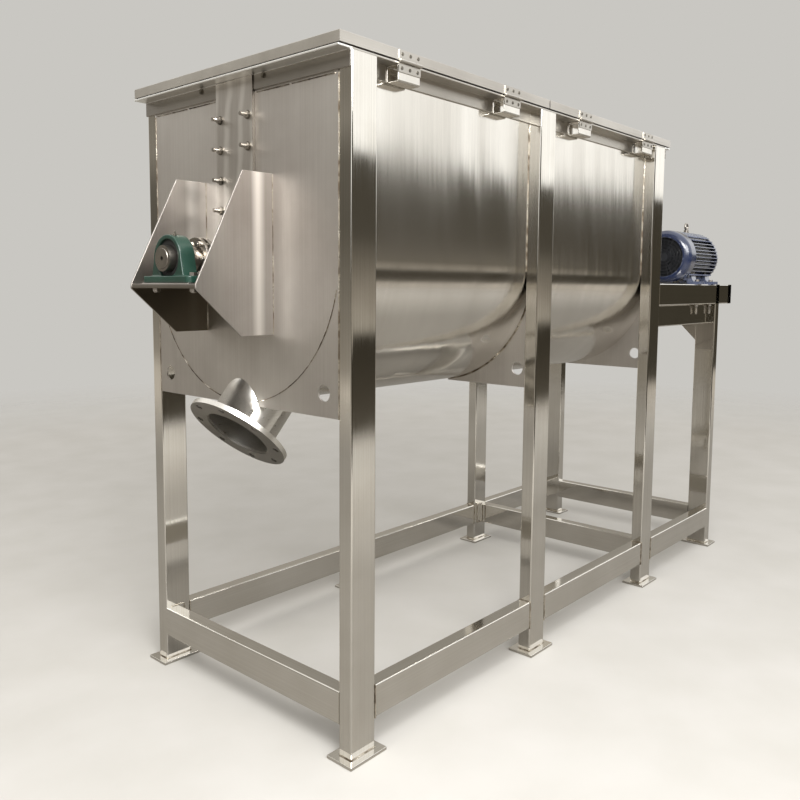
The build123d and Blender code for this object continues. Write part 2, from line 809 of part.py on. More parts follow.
# Cast pillow-block housings, open round the inner ring on both faces
bearing_top_radius = bearing_overall_height - bearing_centre_height
with BuildPart() as bearing_housings:
    for bearing_x in (near_bearing_x, far_bearing_x):
        bearing_plane = Plane.YZ.offset(bearing_x)
        with BuildSketch(bearing_plane):
            with Locations((0, bearing_foot_z)):
                Rectangle(bearing_length, bearing_base_height, align=(Align.CENTER, Align.MIN))
        extrude(amount=bearing_base_width / 2, both=True)
        with BuildSketch(bearing_plane):
            with Locations((0, shaft_z)):
                Circle(bearing_top_radius)
            with BuildLine():
                Polyline(
                    (-bearing_top_radius, shaft_z),
                    (-bearing_neck_half_width, bearing_foot_z),
                    (bearing_neck_half_width, bearing_foot_z),
                    (bearing_top_radius, shaft_z),
                    close=True,
                )
            make_face()
        extrude(amount=bearing_head_width / 2, both=True)
        for side in (-1, 1):
            with BuildSketch(Plane.YZ.offset(bearing_x + side * bearing_head_width / 2)):
                with Locations((0, shaft_z)):
                    Circle(bearing_recess_radius)
            extrude(amount=-side * bearing_recess_depth, mode=Mode.SUBTRACT)
        with BuildSketch(bearing_plane):
            with Locations((0, shaft_z)):
                Circle(bearing_ring_radius + running_fit)
        extrude(amount=bearing_base_width, both=True, mode=Mode.SUBTRACT)
        with BuildSketch(Plane.XY.offset(bearing_foot_z)):
            with Locations((bearing_x, bolt_y), (bearing_x, -bolt_y)):
                SlotOverall(bearing_slot_length, bearing_slot_width, rotation=90)
        extrude(amount=bearing_base_height, mode=Mode.SUBTRACT)
    foot_corners = (
        bearing_housings.edges()
        .filter_by(Axis.Z)
        .filter_by(lambda edge: abs(abs(edge.center().Y) - bearing_length / 2) < 1)
    )
    fillet(foot_corners, bearing_foot_corner)
bearing_housings.part.label = "bearing_housings"
export_step(bearing_housings.part, "parts/bearing_housings.step")

with BuildPart() as bearing_inner_rings:
    for bearing_x in (near_bearing_x, far_bearing_x):
        ring_start_x = bearing_x - bearing_ring_screw_side
        with BuildSketch(Plane.YZ.offset(ring_start_x)):
            with Locations((0, shaft_z)):
                Circle(bearing_ring_radius)
                Circle(shaft_radius, mode=Mode.SUBTRACT)
        extrude(amount=bearing_ring_screw_side + bearing_ring_plain_side)
        with BuildSketch(Plane.XY.offset(shaft_z)):
            with Locations((ring_start_x + grub_screw_inset, 0)):
                Circle(grub_screw_radius)
        extrude(amount=bearing_ring_radius, mode=Mode.SUBTRACT)
bearing_inner_rings.part.label = "bearing_inner_rings"
export_step(bearing_inner_rings.part, "parts/bearing_inner_rings.step")

# Stuffing boxes: flanged barrel on the cover, follower drawn up by six studs
near_gland_face = near_x - cover_thickness
far_gland_face = far_x + cover_thickness
gland_bore = shaft_radius + running_fit
gland_end = gland_follower_start + gland_follower_thickness
gland_outer_flange = gland_body_length - gland_flange_thickness
with BuildPart() as shaft_glands:
    for face_x, side in ((near_gland_face, -1), (far_gland_face, 1)):
        with BuildSketch(Plane.XZ):
            with BuildLine():
                Polyline(
                    (face_x, shaft_z + gland_bore),
                    (face_x, shaft_z + gland_flange_radius),
                    (face_x + side * gland_flange_thickness, shaft_z + gland_flange_radius),
                    (face_x + side * gland_flange_thickness, shaft_z + gland_barrel_radius),
                    (face_x + side * gland_outer_flange, shaft_z + gland_barrel_radius),
                    (face_x + side * gland_outer_flange, shaft_z + gland_flange_radius),
                    (face_x + side * gland_body_length, shaft_z + gland_flange_radius),
                    (face_x + side * gland_body_length, shaft_z + gland_neck_radius),
                    (face_x + side * gland_follower_start, shaft_z + gland_neck_radius),
                    (face_x + side * gland_follower_start, shaft_z + gland_flange_radius),
                    (face_x + side * gland_end, shaft_z + gland_flange_radius),
                    (face_x + side * gland_end, shaft_z + gland_bore),
                    close=True,
                )
            make_face()
        revolve(axis=Axis((0, 0, shaft_z), (1, 0, 0)))
        with BuildSketch(Plane.YZ.offset(face_x + side * gland_end)):
            with Locations((0, shaft_z)):
                with PolarLocations(gland_stud_circle_radius, gland_stud_count):
                    Circle(gland_stud_radius + bolt_clearance)
        extrude(amount=-side * gland_follower_thickness, mode=Mode.SUBTRACT)
shaft_glands.part.label = "shaft_glands"
export_step(shaft_glands.part, "parts/shaft_glands.step")

gland_stud_length = gland_end + gland_stud_reach - gland_body_length
with BuildPart() as gland_studs:
    for face_x, side in ((near_gland_face, -1), (far_gland_face, 1)):
        with BuildSketch(Plane.YZ.offset(face_x + side * gland_body_length)):
            with Locations((0, shaft_z)):
                with PolarLocations(gland_stud_circle_radius, gland_stud_count):
                    Circle(gland_stud_radius)
        extrude(amount=side * gland_stud_length)
        with BuildSketch(Plane.YZ.offset(face_x + side * gland_end)):
            with Locations((0, shaft_z)):
                with PolarLocations(gland_stud_circle_radius, gland_stud_count):
                    RegularPolygon(gland_nut_radius, 6)
        extrude(amount=side * gland_nut_height)
gland_studs.part.label = "gland_studs"
export_step(gland_studs.part, "parts/gland_studs.step")

# Discharge outlet: sloping pipe trimmed by the trough, with a bolted flange
with BuildPart() as discharge_outlet:
    with BuildSketch(outlet_plane):
        Circle(outlet_pipe_radius)
    extrude(amount=outlet_reach)
    with BuildSketch(outlet_plane):
        Circle(outlet_flange_radius)
        half_step = 180 / outlet_bolt_count
        with PolarLocations(outlet_bolt_circle_radius, outlet_bolt_count, start_angle=half_step):
            Circle(outlet_bolt_radius, mode=Mode.SUBTRACT)
    extrude(amount=outlet_flange_thickness)
    with BuildSketch(Plane.YZ.offset(near_x)):
        with Locations((0, shaft_z)):
            Circle(trough_radius)
    extrude(amount=outlet_reach + outlet_flange_radius, mode=Mode.SUBTRACT)
    with BuildSketch(Plane.YZ.offset(near_x)):
        with Locations((0, plate_low_z)):
            Rectangle(trough_width, plate_height, align=(Align.CENTER, Align.MIN))
    extrude(amount=end_sheet, mode=Mode.SUBTRACT)
    with BuildSketch(outlet_plane):
        Circle(outlet_bore_radius)
    extrude(amount=outlet_reach, mode=Mode.SUBTRACT)
    with BuildSketch(outlet_plane):
        Circle(outlet_pipe_radius)
    extrude(amount=outlet_pipe_setback, mode=Mode.SUBTRACT)
discharge_outlet.part.label = "discharge_outlet"
export_step(discharge_outlet.part, "parts/discharge_outlet.step")

# Main shaft: journals at both ends, thick core inside the trough
shaft_axis = Axis((0, 0, shaft_z), (1, 0, 0))
shaft_ring_x = near_x - shaft_ring_reach
core_near_x = near_x + core_end_gap
core_far_x = far_x - core_end_gap
with BuildPart() as main_shaft:
    with BuildSketch(Plane.XZ):
        with BuildLine():
            Polyline(
                (near_shaft_end_x, shaft_z),
                (near_shaft_end_x, shaft_z + shaft_radius - shaft_end_chamfer),
                (near_shaft_end_x + shaft_end_chamfer, shaft_z + shaft_radius),
                (shaft_ring_x, shaft_z + shaft_radius),
                (shaft_ring_x, shaft_z + shaft_ring_radius),
                (shaft_ring_x + shaft_ring_width, shaft_z + shaft_ring_radius),
                (shaft_ring_x + shaft_ring_width, shaft_z + shaft_radius),
                (core_near_x, shaft_z + shaft_radius),
                (core_near_x, shaft_z + core_radius),
                (core_far_x, shaft_z + core_radius),
                (core_far_x, shaft_z + shaft_radius),
                (shaft_coupling_end_x, shaft_z + shaft_radius),
                (shaft_coupling_end_x, shaft_z),
                close=True,
            )
        make_face()
    revolve(axis=shaft_axis)
    with BuildSketch(Plane.YZ.offset(near_shaft_end_x)):
        with Locations((0, shaft_z)):
            Circle(shaft_centre_hole_radius)
    extrude(amount=shaft_centre_hole_depth, mode=Mode.SUBTRACT)
main_shaft.part.label = "main_shaft"
export_step(main_shaft.part, "parts/main_shaft.step")

# Helical ribbons of opposite hand, each a flat bar swept on edge
outer_helix_radius = ribbon_outer_radius - ribbon_width / 2
with BuildPart() as outer_ribbon:
    with BuildLine() as outer_path:
        Helix(
            pitch=ribbon_pitch,
            height=ribbon_length,
            radius=outer_helix_radius,
            center=(ribbon_start_x, 0, shaft_z),
            direction=(1, 0, 0),
        )
    outer_start = outer_path.line @ 0
    outer_radial = Vector(0, outer_start.Y, outer_start.Z - shaft_z).normalized()
    with BuildSketch(Plane(origin=outer_start, x_dir=outer_radial, z_dir=outer_path.line % 0)):
        Rectangle(ribbon_width, ribbon_thickness)
    sweep(is_frenet=True)
outer_ribbon.part.label = "outer_ribbon"
export_step(outer_ribbon.part, "parts/outer_ribbon.step")

first_arm_turn = 360 * ribbon_end_overrun / ribbon_pitch
inner_helix_radius = inner_ribbon_radius - ribbon_width / 2
with BuildPart() as inner_ribbon:
    with BuildLine() as inner_path:
        left_helix = Helix(
            pitch=ribbon_pitch,
            height=ribbon_length,
            radius=inner_helix_radius,
            center=(ribbon_start_x, 0, shaft_z),
            direction=(1, 0, 0),
            lefthand=True,
            mode=Mode.PRIVATE,
        )
        add(left_helix.rotate(shaft_axis, 180 + 2 * first_arm_turn))
    inner_start = inner_path.line @ 0
    inner_radial = Vector(0, inner_start.Y, inner_start.Z - shaft_z).normalized()
    with BuildSketch(Plane(origin=inner_start, x_dir=inner_radial, z_dir=inner_path.line % 0)):
        Rectangle(ribbon_width, ribbon_thickness)
    sweep(is_frenet=True)
inner_ribbon.part.label = "inner_ribbon"
export_step(inner_ribbon.part, "parts/inner_ribbon.step")

# Arms: round bars from the core to the inner edge of each ribbon
inner_arm_tip = inner_ribbon_radius - ribbon_width
outer_arm_tip = ribbon_outer_radius - ribbon_width
arm_positions = [ribbon_end_overrun + number * arm_pitch for number in range(arm_count)]
with BuildPart() as ribbon_arms:
    for arm_path, tip_radius in ((inner_path, inner_arm_tip), (outer_path, outer_arm_tip)):
        for arm_offset in arm_positions:
            spot = arm_path.line @ (arm_offset / ribbon_length)
            hub = Vector(spot.X, 0, shaft_z)
            with BuildSketch(Plane(origin=hub, z_dir=spot - hub)):
                Circle(arm_radius)
            extrude(amount=tip_radius + arm_radius)
        with BuildSketch(Plane.YZ.offset(ribbon_start_x)):
            with Locations((0, shaft_z)):
                Circle(tip_radius)
        extrude(amount=ribbon_length, mode=Mode.INTERSECT)
    with BuildSketch(Plane.YZ.offset(ribbon_start_x)):
        with Locations((0, shaft_z)):
            Circle(core_radius)
    extrude(amount=ribbon_length, mode=Mode.SUBTRACT)
ribbon_arms.part.label = "ribbon_arms"
export_step(ribbon_arms.part, "parts/ribbon_arms.step")

# Flanged coupling between the mixer shaft and the reducer
coupling_hub_length = (coupling_length - coupling_gap) / 2 - coupling_flange_thickness
with BuildPart() as shaft_coupling:
    for side in (-1, 1):
        flange_x = coupling_middle_x + side * coupling_gap / 2
        bore_radius = shaft_radius if side < 0 else output_shaft_radius
        with BuildSketch(Plane.YZ.offset(flange_x)):
            with Locations((0, shaft_z)):
                Circle(coupling_flange_radius)
                Circle(bore_radius, mode=Mode.SUBTRACT)
        extrude(amount=side * coupling_flange_thickness)
        with BuildSketch(Plane.YZ.offset(flange_x + side * coupling_flange_thickness)):
            with Locations((0, shaft_z)):
                Circle(coupling_hub_radius)
                Circle(bore_radius, mode=Mode.SUBTRACT)
        extrude(amount=side * coupling_hub_length)
    pin_circle = (coupling_hub_radius + coupling_flange_radius) / 2
    with BuildSketch(Plane.YZ.offset(coupling_middle_x)):
        with Locations((0, shaft_z)):
            with PolarLocations(pin_circle, coupling_pin_count):
                Circle(coupling_pin_radius)
    extrude(amount=coupling_flange_thickness + coupling_gap + nut_height, both=True)
shaft_coupling.part.label = "shaft_coupling"
export_step(shaft_coupling.part, "parts/shaft_coupling.step")

with BuildPart() as reducer_output_shaft:
    with BuildSketch(Plane.YZ.offset(output_shaft_start_x)):
        with Locations((0, shaft_z)):
            Circle(output_shaft_radius)
    extrude(amount=output_shaft_end_x - output_shaft_start_x)
reducer_output_shaft.part.label = "reducer_output_shaft"
export_step(reducer_output_shaft.part, "parts/reducer_output_shaft.step")

# Seal strip on the rim, with a strip across the bridge
gasket_y = frame_y - gasket_setback
gasket_near_x = near_x - rim_leg + gasket_setback
gasket_far_x = far_x + rim_leg - gasket_setback
gasket_length = gasket_far_x - gasket_near_x
gasket_middle_x = (gasket_far_x + gasket_near_x) / 2
with BuildPart() as rim_gasket:
    with BuildSketch(Plane.XY.offset(rim_top_z)):
        with Locations((gasket_middle_x, 0)):
            Rectangle(gasket_length, 2 * gasket_y)
            Rectangle(
                gasket_length - 2 * gasket_width, 2 * (gasket_y - gasket_width), mode=Mode.SUBTRACT
            )
        with Locations((middle_x, 0)):
            Rectangle(gasket_width, 2 * gasket_y - gasket_width)
    extrude(amount=gasket_thickness)
rim_gasket.part.label = "rim_gasket"
export_step(rim_gasket.part, "parts/rim_gasket.step")


def lid_pan(start_x, end_x):
    """Lid of folded sheet with a lip turned in under its skirt."""
    length = end_x - start_x
    width = 2 * lid_half_width
    with BuildPart() as pan:
        with BuildSketch(Plane.XY.offset(lid_bottom_z)):
            with Locations(((start_x + end_x) / 2, 0)):
                Rectangle(length, width)
        extrude(amount=lid_height)
        top_edges = edges().filter_by(GeomType.LINE).group_by(Axis.Z)[-1]
        fillet(top_edges, lid_edge_radius)
        with BuildSketch(Plane.XY.offset(lid_bottom_z + lid_sheet)):
            with Locations(((start_x + end_x) / 2, 0)):
                Rectangle(length - 2 * lid_sheet, width - 2 * lid_sheet)
        extrude(amount=lid_height - 2 * lid_sheet, mode=Mode.SUBTRACT)
        with BuildSketch(Plane.XY.offset(lid_bottom_z)):
            with Locations(((start_x + end_x) / 2, 0)):
                Rectangle(length - 2 * lid_lip, width - 2 * lid_lip)
        extrude(amount=lid_sheet, mode=Mode.SUBTRACT)
    return pan


# Lids
lid_near_end_x = middle_x - lid_gap / 2
lid_far_start_x = middle_x + lid_gap / 2
lid_near = lid_pan(lid_near_x, lid_near_end_x)
lid_near.part.label = "lid_near"
export_step(lid_near.part, "parts/lid_near.step")

lid_far = lid_pan(lid_far_start_x, lid_far_x)
lid_far.part.label = "lid_far"
export_step(lid_far.part, "parts/lid_far.step")


def lid_handle(centre_x):
    """Bow handle of round bar on two base discs."""
    handle_y = lid_half_width - handle_back_offset
    with BuildPart() as handle:
        with BuildLine():
            bow = FilletPolyline(
                (centre_x - handle_span / 2, handle_y, lid_top_z),
                (centre_x - handle_span / 2, handle_y, lid_top_z + handle_height),
                (centre_x + handle_span / 2, handle_y, lid_top_z + handle_height),
                (centre_x + handle_span / 2, handle_y, lid_top_z),
                radius=handle_bend,
            )
        with BuildSketch(Plane(origin=bow @ 0, z_dir=bow % 0)):
            Circle(handle_rod_radius)
        sweep()
        with BuildSketch(Plane.XY.offset(lid_top_z)):
            with Locations((centre_x, handle_y)):
                with GridLocations(handle_span, 1, 2, 1):
                    Circle(handle_base_radius)
        extrude(amount=handle_base_height)
    return handle


lid_handle_near = lid_handle((lid_near_x + lid_near_end_x) / 2)
lid_handle_near.part.label = "lid_handle_near"
export_step(lid_handle_near.part, "parts/lid_handle_near.step")

lid_handle_far = lid_handle((lid_far_start_x + lid_far_x) / 2)
lid_handle_far.part.label = "lid_handle_far"
export_step(lid_handle_far.part, "parts/lid_handle_far.step")

# Hinges: the lower leaf and its pin stay on the frame, the upper leaf rides on the lid
leaf_low_z = hinge_z - hinge_leaf_height
knuckle_half = hinge_middle_knuckle / 2
outer_knuckle = hinge_width / 2 - knuckle_half - hinge_knuckle_gap
with BuildPart() as hinge_lower_leaves:
    for hinge_x in hinge_spots:
        with BuildSketch(Plane.YZ.offset(hinge_x - hinge_width / 2)):
            with Locations((-frame_y, leaf_low_z)):
                Rectangle(
                    hinge_leaf_thickness,
                    hinge_leaf_height - hinge_knuckle_radius - hinge_leaf_gap,
                    align=(Align.MAX, Align.MIN),
                )
        extrude(amount=hinge_width)
        for knuckle_x in (hinge_x - hinge_width / 2, hinge_x + hinge_width / 2 - outer_knuckle):
            with BuildSketch(Plane.YZ.offset(knuckle_x)):
                with Locations((-frame_y, leaf_low_z)):
                    Rectangle(
                        hinge_leaf_thickness, hinge_leaf_height, align=(Align.MAX, Align.MIN)
                    )
                with Locations((hinge_y, hinge_z)):
                    Circle(hinge_knuckle_radius)
            extrude(amount=outer_knuckle)
        with BuildSketch(Plane.YZ.offset(hinge_x - hinge_width / 2)):
            with Locations((hinge_y, hinge_z)):
                Circle(hinge_pin_radius)
        extrude(amount=hinge_width)
hinge_lower_leaves.part.label = "hinge_lower_leaves"
export_step(hinge_lower_leaves.part, "parts/hinge_lower_leaves.step")


def upper_leaves(*centres):
    """Upper hinge leaves with their middle knuckles."""
    leaf_start_z = hinge_z + hinge_knuckle_radius + hinge_leaf_gap
    with BuildPart() as leaves:
        for centre_x in centres:
            with BuildSketch(Plane.YZ.offset(centre_x - hinge_width / 2)):
                with Locations((-lid_half_width, leaf_start_z)):
                    Rectangle(
                        hinge_leaf_thickness,
                        hinge_leaf_height - hinge_knuckle_radius - hinge_leaf_gap,
                        align=(Align.MAX, Align.MIN),
                    )
            extrude(amount=hinge_width)
            with BuildSketch(Plane.YZ.offset(centre_x - knuckle_half)):
                with Locations((-lid_half_width, hinge_z)):
                    Rectangle(
                        hinge_leaf_thickness, hinge_leaf_height, align=(Align.MAX, Align.MIN)
                    )
                with Locations((hinge_y, hinge_z)):
                    Circle(hinge_knuckle_radius)
                    Circle(hinge_pin_radius + hinge_pin_fit, mode=Mode.SUBTRACT)
            extrude(amount=hinge_middle_knuckle)
    return leaves


hinge_upper_leaves_near = upper_leaves(hinge_1_x, hinge_2_x)
hinge_upper_leaves_near.part.label = "hinge_upper_leaves_near"
export_step(hinge_upper_leaves_near.part, "parts/hinge_upper_leaves_near.step")

hinge_upper_leaves_far = upper_leaves(hinge_3_x, hinge_4_x)
hinge_upper_leaves_far.part.label = "hinge_upper_leaves_far"
export_step(hinge_upper_leaves_far.part, "parts/hinge_upper_leaves_far.step")


def motor_plane(x):
    """Plane across the motor axis at the given length position."""
    return Plane(origin=(x, motor_y, motor_z), x_dir=(0, 1, 0), z_dir=(1, 0, 0))


# Motor frame: barrel with straight cooling fins and four cast feet
foot_top = motor_foot_thickness - motor_shaft_height
rotor_cavity_x = motor_frame_x + rotor_cavity_start
with BuildPart() as motor_frame:
    with BuildSketch(motor_plane(motor_frame_x)):
        with GridLocations(1, fin_pitch, 1, fin_count):
            Rectangle(2 * motor_outer_radius, fin_thickness)
        with GridLocations(fin_pitch, 1, fin_count, 1):
            Rectangle(fin_thickness, 2 * motor_outer_radius)
        Circle(motor_outer_radius, mode=Mode.INTERSECT)
        Circle(motor_barrel_radius)
    extrude(amount=motor_frame_end_x - motor_frame_x)
    for foot_x in (motor_foot_1_x, motor_foot_2_x):
        with BuildSketch(motor_plane(foot_x - motor_foot_length / 2)):
            with BuildLine():
                Polyline(
                    (motor_foot_y - motor_foot_inner, -motor_shaft_height),
                    (motor_foot_y + motor_foot_outer, -motor_shaft_height),
                    (motor_foot_y + motor_foot_outer, foot_top),
                    (motor_foot_y - motor_web_foot, foot_top),
                    (motor_foot_y - motor_web_top, -motor_web_height),
                    (motor_foot_y - motor_web_root, -motor_web_height),
                    close=True,
                )
            make_face()
            mirror(about=Plane.YZ)
        extrude(amount=motor_foot_length)
    box_pad_depth = box_pad_y - motor_y - motor_barrel_radius / 2
    with BuildSketch(motor_plane(box_start_x)):
        with Locations((box_pad_y - motor_y, 0)):
            Rectangle(box_pad_depth, box_pad_height, align=(Align.MAX, Align.CENTER))
    extrude(amount=box_length)
    with BuildSketch(motor_plane(rotor_cavity_x)):
        Circle(rotor_radius + rotor_clearance)
    extrude(amount=motor_frame_end_x - rotor_cavity_x, mode=Mode.SUBTRACT)
    with BuildSketch(motor_plane(motor_frame_x)):
        Circle(motor_shaft_radius + running_fit)
    extrude(amount=motor_frame_end_x - motor_frame_x, mode=Mode.SUBTRACT)
    with BuildSketch(Plane.XY.offset(platform_top_z)):
        with Locations(*motor_bolt_spots):
            Circle(motor_bolt_radius + bolt_clearance)
    extrude(amount=motor_foot_thickness, mode=Mode.SUBTRACT)
motor_frame.part.label = "motor_frame"
export_step(motor_frame.part, "parts/motor_frame.step")

# Eyebolt on top of the motor
eyebolt_foot_z = motor_z + motor_outer_radius
eyebolt_ring_z = eyebolt_foot_z + eyebolt_collar_height + eyebolt_ring_radius
with BuildPart() as motor_eyebolt:
    with BuildSketch(Plane.XY.offset(eyebolt_foot_z)):
        with Locations((eyebolt_x, motor_y)):
            Circle(eyebolt_collar_radius)
    extrude(amount=eyebolt_collar_height)
    with BuildSketch(Plane.XY.offset(eyebolt_ring_z)):
        with Locations((eyebolt_x + eyebolt_ring_radius, motor_y)):
            Circle(eyebolt_rod_radius)
    revolve(axis=Axis((eyebolt_x, motor_y, eyebolt_ring_z), (0, 1, 0)))
motor_eyebolt.part.label = "motor_eyebolt"
export_step(motor_eyebolt.part, "parts/motor_eyebolt.step")

# Fan cowl: pressed dome round a grille of rings and spokes
cowl_dome_x = cowl_face_x + cowl_dome_depth
with BuildPart() as motor_fan_cowl:
    for inset, mode in ((0, Mode.ADD), (cowl_sheet, Mode.SUBTRACT)):
        with BuildSketch(Plane.XZ.offset(-motor_y)):
            with BuildLine():
                Polyline(
                    (cowl_dome_x, motor_z + motor_outer_radius - inset),
                    (motor_frame_x, motor_z + motor_outer_radius - inset),
                    (motor_frame_x, motor_z),
                    (cowl_face_x + inset, motor_z),
                    (cowl_face_x + inset, motor_z + grille_radius),
                )
                EllipticalCenterArc(
                    center=(cowl_dome_x, motor_z + grille_radius),
                    x_radius=cowl_dome_depth - inset,
                    y_radius=motor_outer_radius - grille_radius - inset,
                    start_angle=quarter_turn,
                    arc_size=quarter_turn,
                )
            make_face()
        revolve(axis=Axis((0, motor_y, motor_z), (1, 0, 0)), mode=mode)
    ring_step = (grille_radius - grille_hub_radius) / grille_rings
    with BuildSketch(motor_plane(cowl_face_x)):
        for ring in range(grille_rings):
            Circle(grille_radius - ring * ring_step - grille_bar)
            Circle(grille_radius - (ring + 1) * ring_step, mode=Mode.SUBTRACT)
        with PolarLocations(0, grille_spokes):
            Rectangle(
                grille_radius, grille_bar, align=(Align.MIN, Align.CENTER), mode=Mode.SUBTRACT
            )
    extrude(amount=cowl_sheet, mode=Mode.SUBTRACT)
motor_fan_cowl.part.label = "motor_fan_cowl"
export_step(motor_fan_cowl.part, "parts/motor_fan_cowl.step")

# Drive-end shield
with BuildPart() as motor_drive_shield:
    with BuildSketch(motor_plane(motor_frame_end_x)):
        Circle(shield_radius)
    extrude(amount=shield_lip)
    shield_cone_x = motor_frame_end_x + shield_lip
    with BuildSketch(motor_plane(shield_cone_x)):
        Circle(shield_radius - shield_step)
    with BuildSketch(motor_plane(motor_shield_end_x)):
        Circle(shield_boss_radius)
    loft()
    with BuildSketch(motor_plane(motor_frame_end_x)):
        Circle(motor_shaft_radius + running_fit)
    extrude(amount=motor_shield_end_x - motor_frame_end_x, mode=Mode.SUBTRACT)
motor_drive_shield.part.label = "motor_drive_shield"
export_step(motor_drive_shield.part, "parts/motor_drive_shield.step")

# Terminal box on the side of the motor away from the hinges
with BuildPart() as motor_terminal_box:
    with BuildSketch(Plane.XZ.offset(-box_pad_y)):
        with Locations((box_start_x + box_length / 2, motor_z)):
            RectangleRounded(box_length, box_height, box_corner)
    extrude(amount=-box_depth)
    lid_side = faces().sort_by(Axis.Y)[-1]
    fillet(lid_side.edges(), box_corner / 2)
motor_terminal_box.part.label = "motor_terminal_box"
export_step(motor_terminal_box.part, "parts/motor_terminal_box.step")

with BuildPart() as motor_rotor:
    with BuildSketch(motor_plane(rotor_near_end_x)):
        Circle(motor_shaft_radius)
    extrude(amount=motor_shaft_end_x - rotor_near_end_x)
    with BuildSketch(motor_plane(motor_frame_x + rotor_core_start)):
        Circle(rotor_radius)
    extrude(amount=rotor_core_length)
motor_rotor.part.label = "motor_rotor"
export_step(motor_rotor.part, "parts/motor_rotor.step")

# Radial fan behind the grille
with BuildPart() as motor_fan:
    with BuildSketch(motor_plane(fan_start_x)):
        Circle(fan_hub_radius)
    extrude(amount=rotor_near_end_x - fan_start_x)
    with BuildSketch(motor_plane(fan_end_x - fan_blade_thickness - fan_disc_setback)):
        Circle(fan_radius)
    extrude(amount=fan_blade_thickness)
    with BuildSketch(motor_plane(fan_start_x)):
        with PolarLocations(0, fan_blades):
            Rectangle(fan_radius, fan_blade_thickness, align=(Align.MIN, Align.CENTER))
    extrude(amount=fan_end_x - fan_start_x - fan_blade_thickness)
motor_fan.part.label = "motor_fan"
export_step(motor_fan.part, "parts/motor_fan.step")


def grooved_pulley(centre_y, centre_z, outer_radius, bore_radius):
    """Belt pulley with one tapered groove for each belt."""
    with BuildPart() as pulley:
        with BuildSketch(Plane.YZ.offset(pulley_start_x)):
            with Locations((centre_y, centre_z)):
                Circle(outer_radius)
                Circle(bore_radius, mode=Mode.SUBTRACT)
        extrude(amount=pulley_width)
        groove_plane = Plane(
            origin=(pulley_middle_x, centre_y, centre_z), x_dir=(1, 0, 0), z_dir=(0, -1, 0)
        )
        with BuildSketch(groove_plane):
            with Locations((0, outer_radius)):
                with GridLocations(belt_pitch, 1, belt_count, 1):
                    Trapezoid(
                        belt_top_width + 2 * groove_clearance,
                        groove_depth,
                        belt_side_angle,
                        rotation=180,
                        align=(Align.CENTER, Align.MIN),
                    )
        pulley_axis = Axis((pulley_middle_x, centre_y, centre_z), (1, 0, 0))
        revolve(axis=pulley_axis, mode=Mode.SUBTRACT)
    return pulley


motor_pulley = grooved_pulley(motor_y, motor_z, motor_pulley_radius, motor_shaft_radius)
motor_pulley.part.label = "motor_pulley"
export_step(motor_pulley.part, "parts/motor_pulley.step")

reducer_blank = grooved_pulley(
    reducer_input_y, shaft_z, reducer_pulley_radius, input_shaft_radius
)
with BuildPart() as reducer_pulley:
    add(reducer_blank.part)
    web_recess = (pulley_width - reducer_web_thickness) / 2
    for face_x, side in ((pulley_start_x, 1), (pulley_start_x + pulley_width, -1)):
        with BuildSketch(Plane.YZ.offset(face_x)):
            with Locations((reducer_input_y, shaft_z)):
                Circle(reducer_pulley_radius - reducer_rim_depth)
                Circle(reducer_hub_radius, mode=Mode.SUBTRACT)
        extrude(amount=side * web_recess, mode=Mode.SUBTRACT)
reducer_pulley.part.label = "reducer_pulley"
export_step(reducer_pulley.part, "parts/reducer_pulley.step")

# Wedge belts round both pulleys, each a closed loop that narrows inwards
groove_offsets = [belt_pitch * (number - (belt_count - 1) / 2) for number in range(belt_count)]
belt_low_half = belt_top_width / 2 - belt_height / tan(radians(belt_side_angle))


def pulley_loop(depth):
    """Outline round both pulleys at a depth below the belt's outer face."""
    with Locations((motor_y, motor_z)):
        Circle(motor_pulley_radius - depth)
    with Locations((reducer_input_y, shaft_z)):
        Circle(reducer_pulley_radius - depth)
    make_hull()


with BuildPart() as drive_belts:
    for groove_offset in groove_offsets:
        belt_x = pulley_middle_x + groove_offset
        with BuildSketch(Plane.YZ.offset(belt_x)):
            pulley_loop(0)
        extrude(amount=belt_top_width / 2, both=True)
        with BuildSketch(Plane.YZ.offset(belt_x)):
            pulley_loop(belt_height)
        extrude(amount=belt_low_half, both=True, mode=Mode.SUBTRACT)
        for side in (-1, 1):
            with BuildSketch(Plane.YZ.offset(belt_x + side * belt_low_half)):
                pulley_loop(belt_height)
            with BuildSketch(Plane.YZ.offset(belt_x + side * belt_top_width / 2)):
                pulley_loop(0)
            loft(ruled=True, mode=Mode.SUBTRACT)
drive_belts.part.label = "drive_belts"
export_step(drive_belts.part, "parts/drive_belts.step")

# Belt guard: sheet box that follows both pulleys
with BuildPart() as belt_guard:
    with BuildSketch(Plane.YZ.offset(guard_start_x)):
        with Locations((motor_y, motor_z)):
            Circle(guard_motor_radius)
        with Locations((reducer_input_y, shaft_z)):
            Circle(guard_reducer_radius)
        make_hull()
    extrude(amount=guard_depth)
    with BuildSketch(Plane.YZ.offset(guard_start_x + guard_sheet)):
        with Locations((motor_y, motor_z)):
            Circle(guard_motor_radius - guard_sheet)
        with Locations((reducer_input_y, shaft_z)):
            Circle(guard_reducer_radius - guard_sheet)
        make_hull()
    extrude(amount=guard_depth - 2 * guard_sheet, mode=Mode.SUBTRACT)
    with BuildSketch(Plane.YZ.offset(guard_start_x)):
        with Locations((motor_y, motor_z), (reducer_input_y, shaft_z)):
            Circle(guard_shaft_hole)
    extrude(amount=guard_sheet, mode=Mode.SUBTRACT)
belt_guard.part.label = "belt_guard"
export_step(belt_guard.part, "parts/belt_guard.step")

